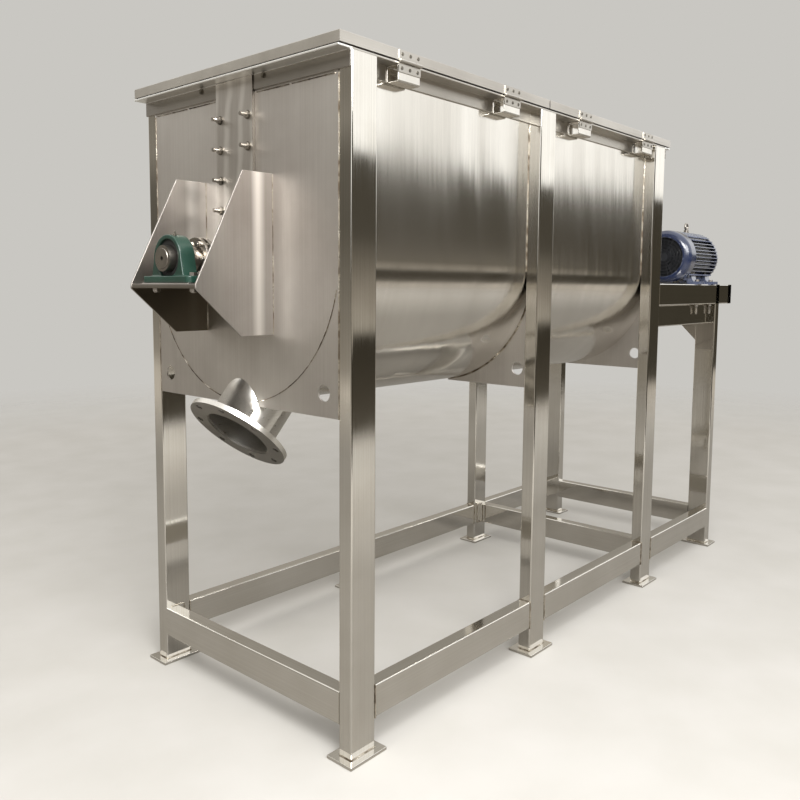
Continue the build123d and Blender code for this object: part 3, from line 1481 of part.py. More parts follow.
# Parallel-shaft reducer case: split flange, base plate and bearing caps
with BuildPart() as reducer_case:
    with BuildSketch(Plane.YZ.offset(reducer_start_x)):
        with Locations((0, shaft_z)):
            Circle(reducer_output_side_radius)
        with Locations((reducer_input_y, shaft_z)):
            Circle(reducer_input_side_radius)
        make_hull()
        with Locations((0, shaft_z)):
            Rectangle(
                2 * reducer_output_side_radius,
                shaft_z - drive_beam_top_z,
                align=(Align.CENTER, Align.MAX),
            )
        with Locations((reducer_input_y, shaft_z)):
            Rectangle(
                2 * reducer_input_side_radius,
                shaft_z - drive_beam_top_z,
                align=(Align.CENTER, Align.MAX),
            )
    extrude(amount=reducer_case_length)
    with BuildSketch(Plane.YZ.offset(reducer_start_x)):
        with Locations((reducer_base_low_y, shaft_z)):
            Rectangle(
                reducer_base_high_y - reducer_base_low_y,
                2 * reducer_flange_half_height,
                align=(Align.MIN, Align.CENTER),
            )
        with Locations((reducer_base_low_y, drive_beam_top_z)):
            Rectangle(
                reducer_base_high_y - reducer_base_low_y,
                reducer_base_thickness,
                align=(Align.MIN, Align.MIN),
            )
    extrude(amount=reducer_case_length)
    with BuildSketch(Plane.YZ.offset(reducer_output_cap_x)):
        with Locations((0, shaft_z)):
            Circle(reducer_output_cap_radius)
    extrude(amount=reducer_start_x - reducer_output_cap_x)
    with BuildSketch(Plane.YZ.offset(reducer_end_x)):
        with Locations((reducer_input_y, shaft_z)):
            Circle(reducer_input_cap_radius)
    extrude(amount=reducer_input_cap_x - reducer_end_x)
    with BuildSketch(Plane.YZ.offset(reducer_output_cap_x)):
        with Locations((0, shaft_z)):
            Circle(output_shaft_radius + running_fit)
    extrude(amount=output_shaft_end_x + bore_end_gap - reducer_output_cap_x, mode=Mode.SUBTRACT)
    with BuildSketch(Plane.YZ.offset(reducer_input_cap_x)):
        with Locations((reducer_input_y, shaft_z)):
            Circle(input_shaft_radius + running_fit)
    extrude(amount=input_shaft_start_x - bore_end_gap - reducer_input_cap_x, mode=Mode.SUBTRACT)
reducer_case.part.label = "reducer_case"
export_step(reducer_case.part, "parts/reducer_case.step")

with BuildPart() as reducer_input_shaft:
    with BuildSketch(Plane.YZ.offset(input_shaft_start_x)):
        with Locations((reducer_input_y, shaft_z)):
            Circle(input_shaft_radius)
    extrude(amount=input_shaft_end_x - input_shaft_start_x)
reducer_input_shaft.part.label = "reducer_input_shaft"
export_step(reducer_input_shaft.part, "parts/reducer_input_shaft.step")

# Holding-down bolts of the motor and of the two bearings
motor_bolt_top_z = platform_top_z + motor_foot_thickness
bearing_bolt_top_z = bearing_foot_z + bearing_base_height
with BuildPart() as mounting_bolts:
    with BuildSketch(Plane.XY.offset(motor_bolt_low_z)):
        with Locations(*motor_bolt_spots):
            Circle(motor_bolt_radius)
    extrude(amount=motor_bolt_top_z - motor_bolt_low_z)
    with BuildSketch(Plane.XY.offset(motor_bolt_top_z)):
        with Locations(*motor_bolt_spots):
            RegularPolygon(nut_radius, 6)
    extrude(amount=bolt_head_height)
    with BuildSketch(Plane.XY.offset(drive_beam_top_z)):
        with Locations(*motor_bolt_spots):
            RegularPolygon(nut_radius, 6)
    extrude(amount=-nut_height)
    for bearing_x, nut_z in (
        (near_bearing_x, shelf_top_z - shelf_thickness),
        (far_bearing_x, shelf_top_z - pedestal_wall),
    ):
        bolt_spots = [(bearing_x, bolt_y), (bearing_x, -bolt_y)]
        with BuildSketch(Plane.XY.offset(nut_z - bearing_bolt_head)):
            with Locations(*bolt_spots):
                Circle(bearing_bolt_radius)
        extrude(amount=bearing_bolt_top_z - nut_z + bearing_bolt_head)
        with BuildSketch(Plane.XY.offset(bearing_bolt_top_z)):
            with Locations(*bolt_spots):
                RegularPolygon(bearing_bolt_head, 6)
        extrude(amount=bearing_bolt_head_height)
        with BuildSketch(Plane.XY.offset(nut_z)):
            with Locations(*bolt_spots):
                RegularPolygon(bearing_bolt_head, 6)
        extrude(amount=-nut_height)
mounting_bolts.part.label = "mounting_bolts"
export_step(mounting_bolts.part, "parts/mounting_bolts.step")
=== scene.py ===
import json
import math

import bmesh
import bpy
from mathutils import Matrix, Vector


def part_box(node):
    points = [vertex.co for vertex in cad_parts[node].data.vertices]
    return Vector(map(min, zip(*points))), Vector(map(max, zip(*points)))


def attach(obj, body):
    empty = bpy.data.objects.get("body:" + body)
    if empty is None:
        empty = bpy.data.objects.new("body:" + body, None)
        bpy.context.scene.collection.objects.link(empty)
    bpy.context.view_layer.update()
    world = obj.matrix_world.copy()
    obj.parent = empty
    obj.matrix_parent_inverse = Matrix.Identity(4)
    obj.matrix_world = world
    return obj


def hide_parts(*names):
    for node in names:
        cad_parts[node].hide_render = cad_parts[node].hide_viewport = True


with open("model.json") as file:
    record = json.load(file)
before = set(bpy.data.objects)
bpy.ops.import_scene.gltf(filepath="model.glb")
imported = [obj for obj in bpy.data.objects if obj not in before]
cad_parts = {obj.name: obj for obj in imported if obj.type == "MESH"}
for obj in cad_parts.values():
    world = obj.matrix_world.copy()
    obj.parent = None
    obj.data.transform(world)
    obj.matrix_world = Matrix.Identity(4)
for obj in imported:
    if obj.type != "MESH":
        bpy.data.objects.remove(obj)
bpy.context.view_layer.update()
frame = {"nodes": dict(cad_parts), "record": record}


def middle(node, axis):
    """Middle of a node along an axis."""
    low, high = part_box(node)
    return (low[axis] + high[axis]) / 2


# Places and sizes of the machine, in metres, most of them read from the frame
X, Y, Z = 0, 1, 2
SHAFT_Z = middle("main_shaft", Z)
NEAR_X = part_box("near_end_plate")[0].x
MIDDLE_X = middle("middle_posts", X)
FAR_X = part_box("far_end_plate")[1].x
PLATE_LOW_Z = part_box("near_end_plate")[0].z
TROUGH_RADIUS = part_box("trough_shell")[1].y
POST_LOW, POST_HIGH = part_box("near_posts")
POST_WIDTH = POST_HIGH.x - POST_LOW.x
HALF_POST_DEPTH = 0.025
POST_Y = POST_HIGH.y - HALF_POST_DEPTH
RAIL_Z = middle("side_rails", Z)
HALF_RAIL_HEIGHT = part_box("side_rails")[1].z - RAIL_Z
RIM_Z = POST_HIGH.z
RIM_LEG = 0.050
SHELF_TOP_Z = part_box("bracket_shelf")[1].z
CHEEK_INNER_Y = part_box("bracket_shelf")[1].y
CHEEK_LOW, CHEEK_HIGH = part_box("bracket_cheeks")
# middle of the painted highlight band on each cheek
CHEEK_HIGHLIGHT_X = NEAR_X - 0.0545
COVER_LOW, COVER_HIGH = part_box("slot_covers")
HALF_HOUSING = 0.035
BEARING_X = {
    "near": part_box("bearing_housings")[0].x + HALF_HOUSING,
    "far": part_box("bearing_housings")[1].x - HALF_HOUSING,
}
HINGE_X = {"near_lid": (-1.085, -0.559), "far_lid": (-0.061, 0.487)}
MOTOR_Y = middle("motor_fan", Y)
MOTOR_Z = middle("motor_fan", Z)
COWL_FACE_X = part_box("motor_fan_cowl")[0].x
FIN_GROOVE_RADIUS = 0.1225
LEVEL_FINS_TOP = 0.112

# The outlet: a pipe that slopes down to a flange, from the middle of the flange's face
OUTLET_SLOPE = math.radians(48)
OUTLET_FACE = Vector((-1.3281, 0, 0.897))
PIPE_WAY = Vector((math.cos(OUTLET_SLOPE), 0, math.sin(OUTLET_SLOPE)))
PIPE_UP = Vector((-math.sin(OUTLET_SLOPE), 0, math.cos(OUTLET_SLOPE)))
PIPE_RADIUS = 0.1095
FLANGE_THICKNESS = 0.016
BOLT_CIRCLE_RADIUS = 0.1475
BOLT_HOLE_REACH = 0.0135


def linear(code):
    """Linear colour with alpha from an sRGB hex code."""
    light = []
    for place in (1, 3, 5):
        share = int(code[place : place + 2], 16) / 255
        light.append(share / 12.92 if share <= 0.04045 else ((share + 0.055) / 1.055) ** 2.4)
    return (*light, 1.0)


def add(tree, kind, inputs=(), stops=(), **settings):
    """Adds a node. Its inputs go by name or number, or in the node's own order, and each is a
    value or the output socket that feeds it. Stops are a colour ramp's places and hex codes."""
    node = tree.nodes.new(kind)
    for name, value in settings.items():
        setattr(node, name, value)
    named = inputs.items() if isinstance(inputs, dict) else enumerate(inputs)
    for name, value in named:
        if isinstance(value, bpy.types.NodeSocket):
            tree.links.new(value, node.inputs[name])
        else:
            node.inputs[name].default_value = value
    if stops:
        elements = node.color_ramp.elements
        while len(elements) < len(stops):
            elements.new(0.5)
        for element, (place, code) in zip(elements, stops):
            element.position = place
            element.color = linear(code)
    return node


def drawn_noise(tree, place, across, along, axes, detail):
    """Noise drawn out along one axis or two, with scales per metre across and along them."""
    scale = [along if axis in axes else across for axis in "XYZ"]
    drawn = add(tree, "ShaderNodeMapping", {"Vector": place, "Scale": scale})
    noise = {"Vector": drawn.outputs[0], "Scale": 1.0, "Detail": detail}
    return add(tree, "ShaderNodeTexNoise", noise).outputs["Fac"]


def blank_material(name):
    """Material with an empty node tree, and the Object coordinates for its patterns."""
    material = bpy.data.materials.new(name)
    material.use_nodes = True
    tree = material.node_tree
    tree.nodes.clear()
    return material, tree, add(tree, "ShaderNodeTexCoord").outputs["Object"]


def close_material(tree, inputs):
    """Ends a material in its shader, with the inputs given to it."""
    shader = add(tree, "ShaderNodeBsdfPrincipled", inputs)
    add(tree, "ShaderNodeOutputMaterial", {"Surface": shader.outputs[0]})


def polished_tube(name, along, smooth=0.04, dull=0.10):
    """Stainless tube, belt polished along its length: a near mirror with fine lengthwise lines
    and the slight waves of rolled tube, so reflections end in soft streaks."""
    material, tree, place = blank_material(name)
    # belt lines about 0.5 mm apart, drawn at 4 mm so that they show
    lines = drawn_noise(tree, place, 260.0, 1.2, along, 3.0)
    # waves of the rolled wall, 60 mm apart, and smudges of 170 mm
    waves = drawn_noise(tree, place, 16.0, 1.3, along, 2.0)
    smudge = add(tree, "ShaderNodeTexNoise", {"Vector": place, "Scale": 6.0, "Detail": 6.0})
    streaked = add(
        tree,
        "ShaderNodeMix",
        {"Factor": 0.5, "A": smudge.outputs["Fac"], "B": lines},
        data_type="FLOAT",
    ).outputs[0]
    rough = add(tree, "ShaderNodeMapRange", (streaked, 0.35, 0.65, smooth, dull))
    tint = add(tree, "ShaderNodeValToRGB", (streaked,), [(0.35, "#E4E1DB"), (0.65, "#D6D2CA")])
    fine = add(tree, "ShaderNodeBump", {"Height": lines, "Strength": 0.05, "Distance": 0.0004})
    broad = add(
        tree,
        "ShaderNodeBump",
        {"Height": waves, "Strength": 0.15, "Distance": 0.0012, "Normal": fine.outputs[0]},
    )
    close_material(
        tree,
        {
            "Base Color": tint.outputs[0],
            "Metallic": 1.0,
            "Roughness": rough.outputs[0],
            "Normal": broad.outputs[0],
        },
    )
    return material


def brushed_sheet(
    name, light_code, dark_code, smooth, dull, drawn, dent=0.25, pull=0.4, cloudy=0.5, marks=()
):
    """Stainless sheet, mill finished and brushed: a satin metal that draws its reflections out
    across the brush lines, with soft streaks, cloudy handling marks and shallow dents. Marks may
    darken or brighten parts of it, some as painted shade or painted highlights: each is a share of
    the surface and a colour."""
    material, tree, place = blank_material(name)
    # brush lines about 0.3 mm apart, drawn at 5 mm so that they show
    lines = drawn_noise(tree, place, 200.0, 1.6, drawn, 3.0)
    # streaks of 100 mm and handling marks of 400 mm
    streaks = drawn_noise(tree, place, 10.0, 0.6, drawn, 3.0)
    clouds = add(tree, "ShaderNodeTexNoise", {"Vector": place, "Scale": 2.4, "Detail": 5.0})
    mixed = add(
        tree,
        "ShaderNodeMix",
        {"Factor": cloudy, "A": streaks, "B": clouds.outputs["Fac"]},
        data_type="FLOAT",
    ).outputs[0]
    grained = add(
        tree, "ShaderNodeMix", {"Factor": 0.12, "A": mixed, "B": lines}, data_type="FLOAT"
    ).outputs[0]
    tint = add(
        tree, "ShaderNodeValToRGB", (grained,), [(0.36, dark_code), (0.64, light_code)]
    ).outputs[0]
    rough = add(tree, "ShaderNodeMapRange", (grained, 0.36, 0.64, dull, smooth))
    for mark in marks:
        share, code = mark(tree, place)
        tint = add(
            tree, "ShaderNodeMix", {0: share, 6: tint, 7: linear(code)}, data_type="RGBA"
        ).outputs[2]
    fine = add(tree, "ShaderNodeBump", {"Height": lines, "Strength": 0.06, "Distance": 0.0004})
    dents = add(
        tree,
        "ShaderNodeBump",
        {"Height": streaks, "Strength": dent, "Distance": 0.002, "Normal": fine.outputs[0]},
    )
    brushed = add(tree, "ShaderNodeTangent", direction_type="RADIAL", axis="Z")
    close_material(
        tree,
        {
            "Base Color": tint,
            "Metallic": 1.0,
            "Roughness": rough.outputs[0],
            "Anisotropic": pull,
            "Anisotropic Rotation": 0.25,
            "Tangent": brushed.outputs[0],
            "Normal": dents.outputs[0],
        },
    )
    return material


def painted_shade_under_shelf(tree, place):
    """Share of the bearing bracket painted dark as shade: its inside under the shelf."""
    parts = add(tree, "ShaderNodeSeparateXYZ", (place,)).outputs
    start_z, end_z = SHELF_TOP_Z - 0.0022, SHELF_TOP_Z - 0.0202
    under = add(tree, "ShaderNodeMapRange", (parts["Z"], start_z, end_z, 0.0, 1.0)).outputs[0]
    sideways = add(tree, "ShaderNodeMath", (parts["Y"],), operation="ABSOLUTE").outputs[0]
    start_y, end_y = CHEEK_INNER_Y + 0.002, CHEEK_INNER_Y + 0.0005
    inside = add(tree, "ShaderNodeMapRange", (sideways, start_y, end_y, 0.0, 0.92)).outputs[0]
    return add(tree, "ShaderNodeMath", (under, inside), operation="MULTIPLY").outputs[0], "#6C6455"


def painted_highlight_band(tree, place):
    """Share of each cheek painted bright as a highlight, an upright band."""
    parts = add(tree, "ShaderNodeSeparateXYZ", (place,)).outputs
    off = add(tree, "ShaderNodeMath", (parts["X"], CHEEK_HIGHLIGHT_X), operation="SUBTRACT").outputs[0]
    away = add(tree, "ShaderNodeMath", (off,), operation="ABSOLUTE").outputs[0]
    return add(tree, "ShaderNodeMapRange", (away, 0.026, 0.004, 0.0, 0.8)).outputs[0], "#E6E2DC"


def painted_highlight_lip(tree, place):
    """Share of the rim's end that is its lip, painted bright as a highlight."""
    parts = add(tree, "ShaderNodeSeparateXYZ", (place,)).outputs
    lip = add(tree, "ShaderNodeMapRange", (parts["Z"], RIM_Z - 0.0015, RIM_Z, 0.0, 1.0))
    return lip.outputs[0], "#FFFFFC"


def swept_painted_highlights(tree, place):
    """Share of a slot cover painted bright as highlights, in curved sweeps 60 mm apart."""
    sweeps = add(
        tree,
        "ShaderNodeTexWave",
        {"Vector": place, "Scale": 5.0, "Distortion": 7.0, "Detail": 3.0, "Detail Scale": 0.5},
        bands_direction="Y",
    )
    bright = add(tree, "ShaderNodeMapRange", (sweeps.outputs["Fac"], 0.45, 1.0, 0.0, 0.4))
    return bright.outputs[0], "#FBF8F3"


def darkened_sides(tree, place):
    """Share of a slot cover at its outer sides, which is darkened."""
    parts = add(tree, "ShaderNodeSeparateXYZ", (place,)).outputs
    sideways = add(tree, "ShaderNodeMath", (parts["Y"],), operation="ABSOLUTE").outputs[0]
    start, end = COVER_HIGH.y - 0.0012, COVER_HIGH.y - 0.0004
    return add(tree, "ShaderNodeMapRange", (sideways, start, end, 0.0, 0.9)).outputs[0], "#5A554D"


def turned_steel(name, light_code, dark_code, gloss, matt):
    """Turned steel: fine rings of tool marks give a soft, slightly broken gloss."""
    material, tree, place = blank_material(name)
    # tool marks of 0.2 mm feed, drawn at 3 mm so that they show, and stains of 70 mm
    rings = add(
        tree,
        "ShaderNodeTexWave",
        {"Vector": place, "Scale": 105.0, "Distortion": 0.6},
        bands_direction="X",
    ).outputs["Fac"]
    stain = add(
        tree, "ShaderNodeTexNoise", {"Vector": place, "Scale": 14.0, "Detail": 5.0}
    ).outputs["Fac"]
    tint = add(tree, "ShaderNodeValToRGB", (stain,), [(0.35, dark_code), (0.7, light_code)])
    rough = add(tree, "ShaderNodeMapRange", (stain, 0.3, 0.7, matt, gloss))
    bump = add(tree, "ShaderNodeBump", {"Height": rings, "Strength": 0.12, "Distance": 0.0004})
    close_material(
        tree,
        {
            "Base Color": tint.outputs[0],
            "Metallic": 1.0,
            "Roughness": rough.outputs[0],
            "Normal": bump.outputs[0],
        },
    )
    return material


def weld_steel(name, light_code, dark_code):
    """Weld bead in stainless, left as welded: ripples and patches of straw and brown heat tint."""
    material, tree, place = blank_material(name)
    # heat tint in patches of 40 mm
    heat = add(
        tree, "ShaderNodeTexNoise", {"Vector": place, "Scale": 26.0, "Detail": 4.0}
    ).outputs["Fac"]
    # ripples about 2 mm apart, drawn at 6 mm so that they show
    ripples = add(
        tree, "ShaderNodeTexNoise", {"Vector": place, "Scale": 170.0, "Detail": 2.0}
    ).outputs["Fac"]
    tints = [(0.38, dark_code), (0.52, light_code), (0.7, "#E5E0D4")]
    tint = add(tree, "ShaderNodeValToRGB", (heat,), tints)
    rough = add(tree, "ShaderNodeMapRange", (heat, 0.35, 0.65, 0.5, 0.22))
    bump = add(tree, "ShaderNodeBump", {"Height": ripples, "Strength": 0.5, "Distance": 0.001})
    close_material(
        tree,
        {
            "Base Color": tint.outputs[0],
            "Metallic": 1.0,
            "Roughness": rough.outputs[0],
            "Normal": bump.outputs[0],
        },
    )
    return material


def enamel(name, code, worn_code, gloss, coarse, coat, shade_share=None):
    """Machine enamel, sprayed on cast metal: an even colour with orange peel, dust that dulls the
    gloss in patches and a paler tone where it has rubbed. A shade share is painted near black, as
    painted shade."""
    material, tree, place = blank_material(name)
    # orange peel of about 2.5 mm and dust in patches of 110 mm
    peel = add(
        tree, "ShaderNodeTexNoise", {"Vector": place, "Scale": coarse, "Detail": 3.0}
    ).outputs["Fac"]
    dust = add(
        tree, "ShaderNodeTexNoise", {"Vector": place, "Scale": 9.0, "Detail": 6.0}
    ).outputs["Fac"]
    tint = add(tree, "ShaderNodeValToRGB", (dust,), [(0.35, code), (0.75, worn_code)]).outputs[0]
    rough = add(tree, "ShaderNodeMapRange", (dust, 0.3, 0.7, gloss, gloss + 0.15))
    if shade_share:
        # the shade share is painted near black
        painted_shade_mix = {0: shade_share(tree, place), 6: tint, 7: linear("#08090C")}
        tint = add(tree, "ShaderNodeMix", painted_shade_mix, data_type="RGBA").outputs[2]
    bump = add(tree, "ShaderNodeBump", {"Height": peel, "Strength": 0.2, "Distance": 0.0008})
    close_material(
        tree,
        {
            "Base Color": tint,
            "Roughness": rough.outputs[0],
            "Normal": bump.outputs[0],
            "Coat Weight": coat,
            "Coat Roughness": 0.18,
        },
    )
    return material


def shade_between_fins(tree, place):
    """Share of the motor painted near black as shade in the grooves between its level cooling
    fins: below their tips, and not on its top or bottom."""
    parts = add(tree, "ShaderNodeSeparateXYZ", (place,)).outputs
    across = add(tree, "ShaderNodeMath", (parts["Y"], MOTOR_Y), operation="SUBTRACT").outputs[0]
    upward = add(tree, "ShaderNodeMath", (parts["Z"], MOTOR_Z), operation="SUBTRACT").outputs[0]
    flat = add(tree, "ShaderNodeCombineXYZ", (across, upward)).outputs[0]
    radius = add(tree, "ShaderNodeVectorMath", (flat,), operation="LENGTH").outputs["Value"]
    groove = FIN_GROOVE_RADIUS, FIN_GROOVE_RADIUS - 0.008
    deep = add(tree, "ShaderNodeMapRange", (radius, *groove, 0.0, 0.95)).outputs[0]
    level = add(tree, "ShaderNodeMath", (upward,), operation="ABSOLUTE").outputs[0]
    fins_end = LEVEL_FINS_TOP, LEVEL_FINS_TOP - 0.006
    beside = add(tree, "ShaderNodeMapRange", (level, *fins_end, 0.0, 1.0)).outputs[0]
    return add(tree, "ShaderNodeMath", (deep, beside), operation="MULTIPLY").outputs[0]


def moulded_rubber(name, code, dusty_code):
    """Moulded rubber: deep grey with a dull, slightly dusty skin."""
    material, tree, place = blank_material(name)
    # grain of the mould about 0.5 mm, drawn at 4 mm so that it shows, and dust of 80 mm
    grain = add(
        tree, "ShaderNodeTexNoise", {"Vector": place, "Scale": 260.0, "Detail": 3.0}
    ).outputs["Fac"]
    dust = add(
        tree, "ShaderNodeTexNoise", {"Vector": place, "Scale": 12.0, "Detail": 4.0}
    ).outputs["Fac"]
    tint = add(tree, "ShaderNodeValToRGB", (dust,), [(0.4, code), (0.75, dusty_code)])
    bump = add(tree, "ShaderNodeBump", {"Height": grain, "Strength": 0.2, "Distance": 0.0004})
    close_material(
        tree, {"Base Color": tint.outputs[0], "Roughness": 0.75, "Normal": bump.outputs[0]}
    )
    return material


POST_STEEL = polished_tube("polished_tube_upright", "Z")
RAIL_STEEL = polished_tube("polished_tube_lengthwise", "X")
CROSS_STEEL = polished_tube("polished_tube_across", "Y")
OUTLET_STEEL = polished_tube("polished_outlet_pipe", "X", 0.26, 0.38)
TROUGH_STEEL = brushed_sheet(
    "brushed_trough_sheet", "#E2DFD9", "#CDC9C2", 0.10, 0.17, "YZ", dent=0.8, pull=0.0
)
PLATE_STEEL = brushed_sheet(
    "brushed_end_plate", "#DCD8D3", "#BAB4AE", 0.36, 0.48, "Z", cloudy=0.8
)
# the bearing bracket: a painted highlight band on each cheek and painted shade under its shelf
BRACKET_STEEL = brushed_sheet(
    "brushed_bracket_plate",
    "#B4AFA9",
    "#8F8983",
    0.32,
    0.42,
    "Z",
    cloudy=0.65,
    marks=(painted_highlight_band, painted_shade_under_shelf),
)
# the flange's face and bolt holes: a darker copy of the sheet, as painted shade
FLANGE_STEEL = brushed_sheet(
    "matt_flange_face_painted_shade", "#9A9690", "#7B7771", 0.30, 0.42, "Y", cloudy=0.8
)
# the slot covers: painted highlights in curved sweeps, and darkened sides
COVER_STEEL = brushed_sheet(
    "hand_ground_cover_painted_highlights",
    "#D8D3CD",
    "#A8A29B",
    0.28,
    0.42,
    "Z",
    dent=0.9,
    cloudy=0.7,
    marks=(swept_painted_highlights, darkened_sides),
)
# the rim's ends: a darker copy of the rim's sheet, as painted shade, with a painted highlight on
# their lip
RIM_STEEL = brushed_sheet(
    "brushed_rim_end_painted_shade", "#A39E97", "#86817A", 0.28, 0.40, "Y", marks=(painted_highlight_lip,)
)
LID_STEEL = brushed_sheet("brushed_lid_sheet", "#D3CFC8", "#B9B4AC", 0.26, 0.36, "X")
TURNED_STEEL = turned_steel("turned_steel", "#C4BEB5", "#8F8981", 0.22, 0.38)
SCREW_STEEL = turned_steel("zinc_plated_screws", "#8F8A80", "#5F5B54", 0.3, 0.45)
WELD_STEEL = weld_steel("stainless_weld", "#B9B0A1", "#6E6253")
DARK_WELD = weld_steel("tinted_root_weld", "#7C7163", "#4A4036")
GREEN_ENAMEL = enamel("green_bearing_enamel", "#0F2B22", "#1A3D31", 0.3, 420.0, 0.4)
BLUE_ENAMEL = enamel("blue_motor_enamel", "#192440", "#262F4A", 0.16, 380.0, 1.0)
FIN_ENAMEL = enamel("blue_finned_enamel", "#484F64", "#5F667C", 0.2, 380.0, 1.0, shade_between_fins)
# paler copy of the motor's enamel: a painted highlight on fin edges and the grille's lip
FIN_EDGE_HIGHLIGHT = enamel("fin_edge_painted_highlight", "#5D6580", "#7A8198", 0.2, 380.0, 1.0)
BLACK_ENAMEL = enamel("black_fan_enamel", "#0E0F12", "#1A1C21", 0.45, 420.0, 0.1)
RUBBER = moulded_rubber("black_rubber", "#171716", "#262523")
SEAL_RUBBER = moulded_rubber("brown_black_seal", "#241F1A", "#3A322A")

NODE_FINISH = {
    POST_STEEL: ["near_posts", "middle_posts", "far_posts", "drive_posts", "bearing_pedestal"],
    RAIL_STEEL: ["side_rails", "drive_beams", "motor_beams", "platform_stubs", "foot_plates"],
    OUTLET_STEEL: ["discharge_outlet"],
    CROSS_STEEL: [
        "cross_rails",
        "drive_cross_beam",
        "drive_support_beams",
        "platform_cross_tubes",
        "gussets",
    ],
    TROUGH_STEEL: ["trough_shell", "hinge_blocks"],
    PLATE_STEEL: ["near_end_plate", "far_end_plate", "saddle_plates"],
    COVER_STEEL: ["slot_covers"],
    RIM_STEEL: ["rim_ends"],
    BRACKET_STEEL: ["bracket_cheeks", "bracket_shelf"],
    LID_STEEL: [
        "rim_sides",
        "rim_bridge",
        "lid_near",
        "lid_far",
        "lid_handle_near",
        "lid_handle_far",
        "hinge_lower_leaves",
        "hinge_upper_leaves_near",
        "hinge_upper_leaves_far",
    ],
    TURNED_STEEL: [
        "main_shaft",
        "outer_ribbon",
        "inner_ribbon",
        "ribbon_arms",
        "bearing_inner_rings",
        "shaft_glands",
        "shaft_coupling",
        "reducer_output_shaft",
        "reducer_input_shaft",
        "motor_rotor",
        "cover_studs",
        "gland_studs",
        "mounting_bolts",
        "motor_eyebolt",
        "motor_pulley",
        "reducer_pulley",
    ],
    GREEN_ENAMEL: ["bearing_housings"],
    FIN_ENAMEL: ["motor_frame"],
    BLUE_ENAMEL: [
        "motor_fan_cowl",
        "motor_drive_shield",
        "motor_terminal_box",
        "belt_guard",
        "reducer_case",
    ],
    BLACK_ENAMEL: ["motor_fan"],
    RUBBER: ["drive_belts"],
    SEAL_RUBBER: ["rim_gasket"],
}

# Edges that are ground or cast round, in metres
EASED_EDGES = {
    "bearing_housings": 0.003,
    "bracket_cheeks": 0.0012,
    "bracket_shelf": 0.0012,
    "slot_covers": 0.0012,
    "rim_ends": 0.001,
    "rim_sides": 0.001,
    "hinge_blocks": 0.001,
    "foot_plates": 0.0015,
    "shaft_glands": 0.001,
    "shaft_coupling": 0.0015,
    "motor_drive_shield": 0.0015,
    "reducer_case": 0.003,
    "belt_guard": 0.001,
}
# Points closer than this are one, and faces flatter than this are one
MERGE_DISTANCE = 0.00001
FLAT_ANGLE = math.radians(0.5)
# Edges past these angles stay sharp, or are eased
SMOOTH_ANGLE = math.radians(35)
EASED_ANGLE = math.radians(40)
TURNED_ANGLE = math.radians(40)
GROWN_ANGLE = math.radians(50)


def body_of_node(node):
    """Body that holds a node of the frame."""
    for name, members in frame["record"]["behaviour"]["bodies"].items():
        if node in members:
            return name
    raise KeyError(node)


def plain_mesh(piece):
    """Works a piece's modifiers into its mesh."""
    bpy.context.view_layer.update()
    graph = bpy.context.evaluated_depsgraph_get()
    mesh = bpy.data.meshes.new_from_object(piece.evaluated_get(graph))
    piece.modifiers.clear()
    piece.data = mesh


def dressed_copy(node, material):
    """Copy of a node with merged points, eased edges and smooth rounds, which stands for it."""
    mesh = frame["nodes"][node].data.copy()
    mesh.name = f"{node}_dressed"
    shape = bmesh.new()
    shape.from_mesh(mesh)
    bmesh.ops.remove_doubles(shape, verts=shape.verts, dist=MERGE_DISTANCE)
    bmesh.ops.dissolve_limit(shape, angle_limit=FLAT_ANGLE, verts=shape.verts, edges=shape.edges)
    shape.to_mesh(mesh)
    shape.free()
    piece = bpy.data.objects.new(f"{node}_dressed", mesh)
    bpy.context.scene.collection.objects.link(piece)
    if node in EASED_EDGES:
        ease = piece.modifiers.new("eased_edges", "BEVEL")
        ease.width = EASED_EDGES[node]
        ease.segments = 2
        ease.limit_method = "ANGLE"
        ease.angle_limit = EASED_ANGLE
        ease.use_clamp_overlap = False
        plain_mesh(piece)
    piece.data.materials.clear()
    piece.data.materials.append(material)
    piece.data.shade_smooth()
    piece.data.set_sharp_from_angle(angle=SMOOTH_ANGLE)
    # corner normals follow the large faces, so flat walls mirror as flat ones
    flat = piece.modifiers.new("flat_faces", "WEIGHTED_NORMAL")
    flat.keep_sharp = True
    flat.weight = 100
    plain_mesh(piece)
    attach(piece, body_of_node(node))
    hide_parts(node)
    return piece


dressed = {
    node: dressed_copy(node, finish) for finish, nodes in NODE_FINISH.items() for node in nodes
}

# The turning pieces are 0.2 % slimmer, so that their facets stay clear of the bores as they turn
RUNNING_SHARE = 0.998
for node in ("main_shaft", "bearing_inner_rings"):
    for point in dressed[node].data.vertices:
        point.co.y *= RUNNING_SHARE
        point.co.z = SHAFT_Z + (point.co.z - SHAFT_Z) * RUNNING_SHARE

# The outlet's flange has a matt turned face and matt walls in its bolt holes, both painted darker
# as shade
outlet_mesh = dressed["discharge_outlet"].data
outlet_mesh.materials.append(FLANGE_STEEL)
for face in outlet_mesh.polygons:
    from_face = face.center - OUTLET_FACE
    inward = from_face.dot(PIPE_WAY)
    off_axis = (from_face - PIPE_WAY * inward).length
    in_flange = 0.0 < inward < FLANGE_THICKNESS + 0.0005
    in_bolt_hole = in_flange and abs(off_axis - BOLT_CIRCLE_RADIUS) < BOLT_HOLE_REACH
    looks_down_the_pipe = face.normal.dot(PIPE_WAY) < -0.98
    if looks_down_the_pipe or in_bolt_hole:
        face.material_index = 1

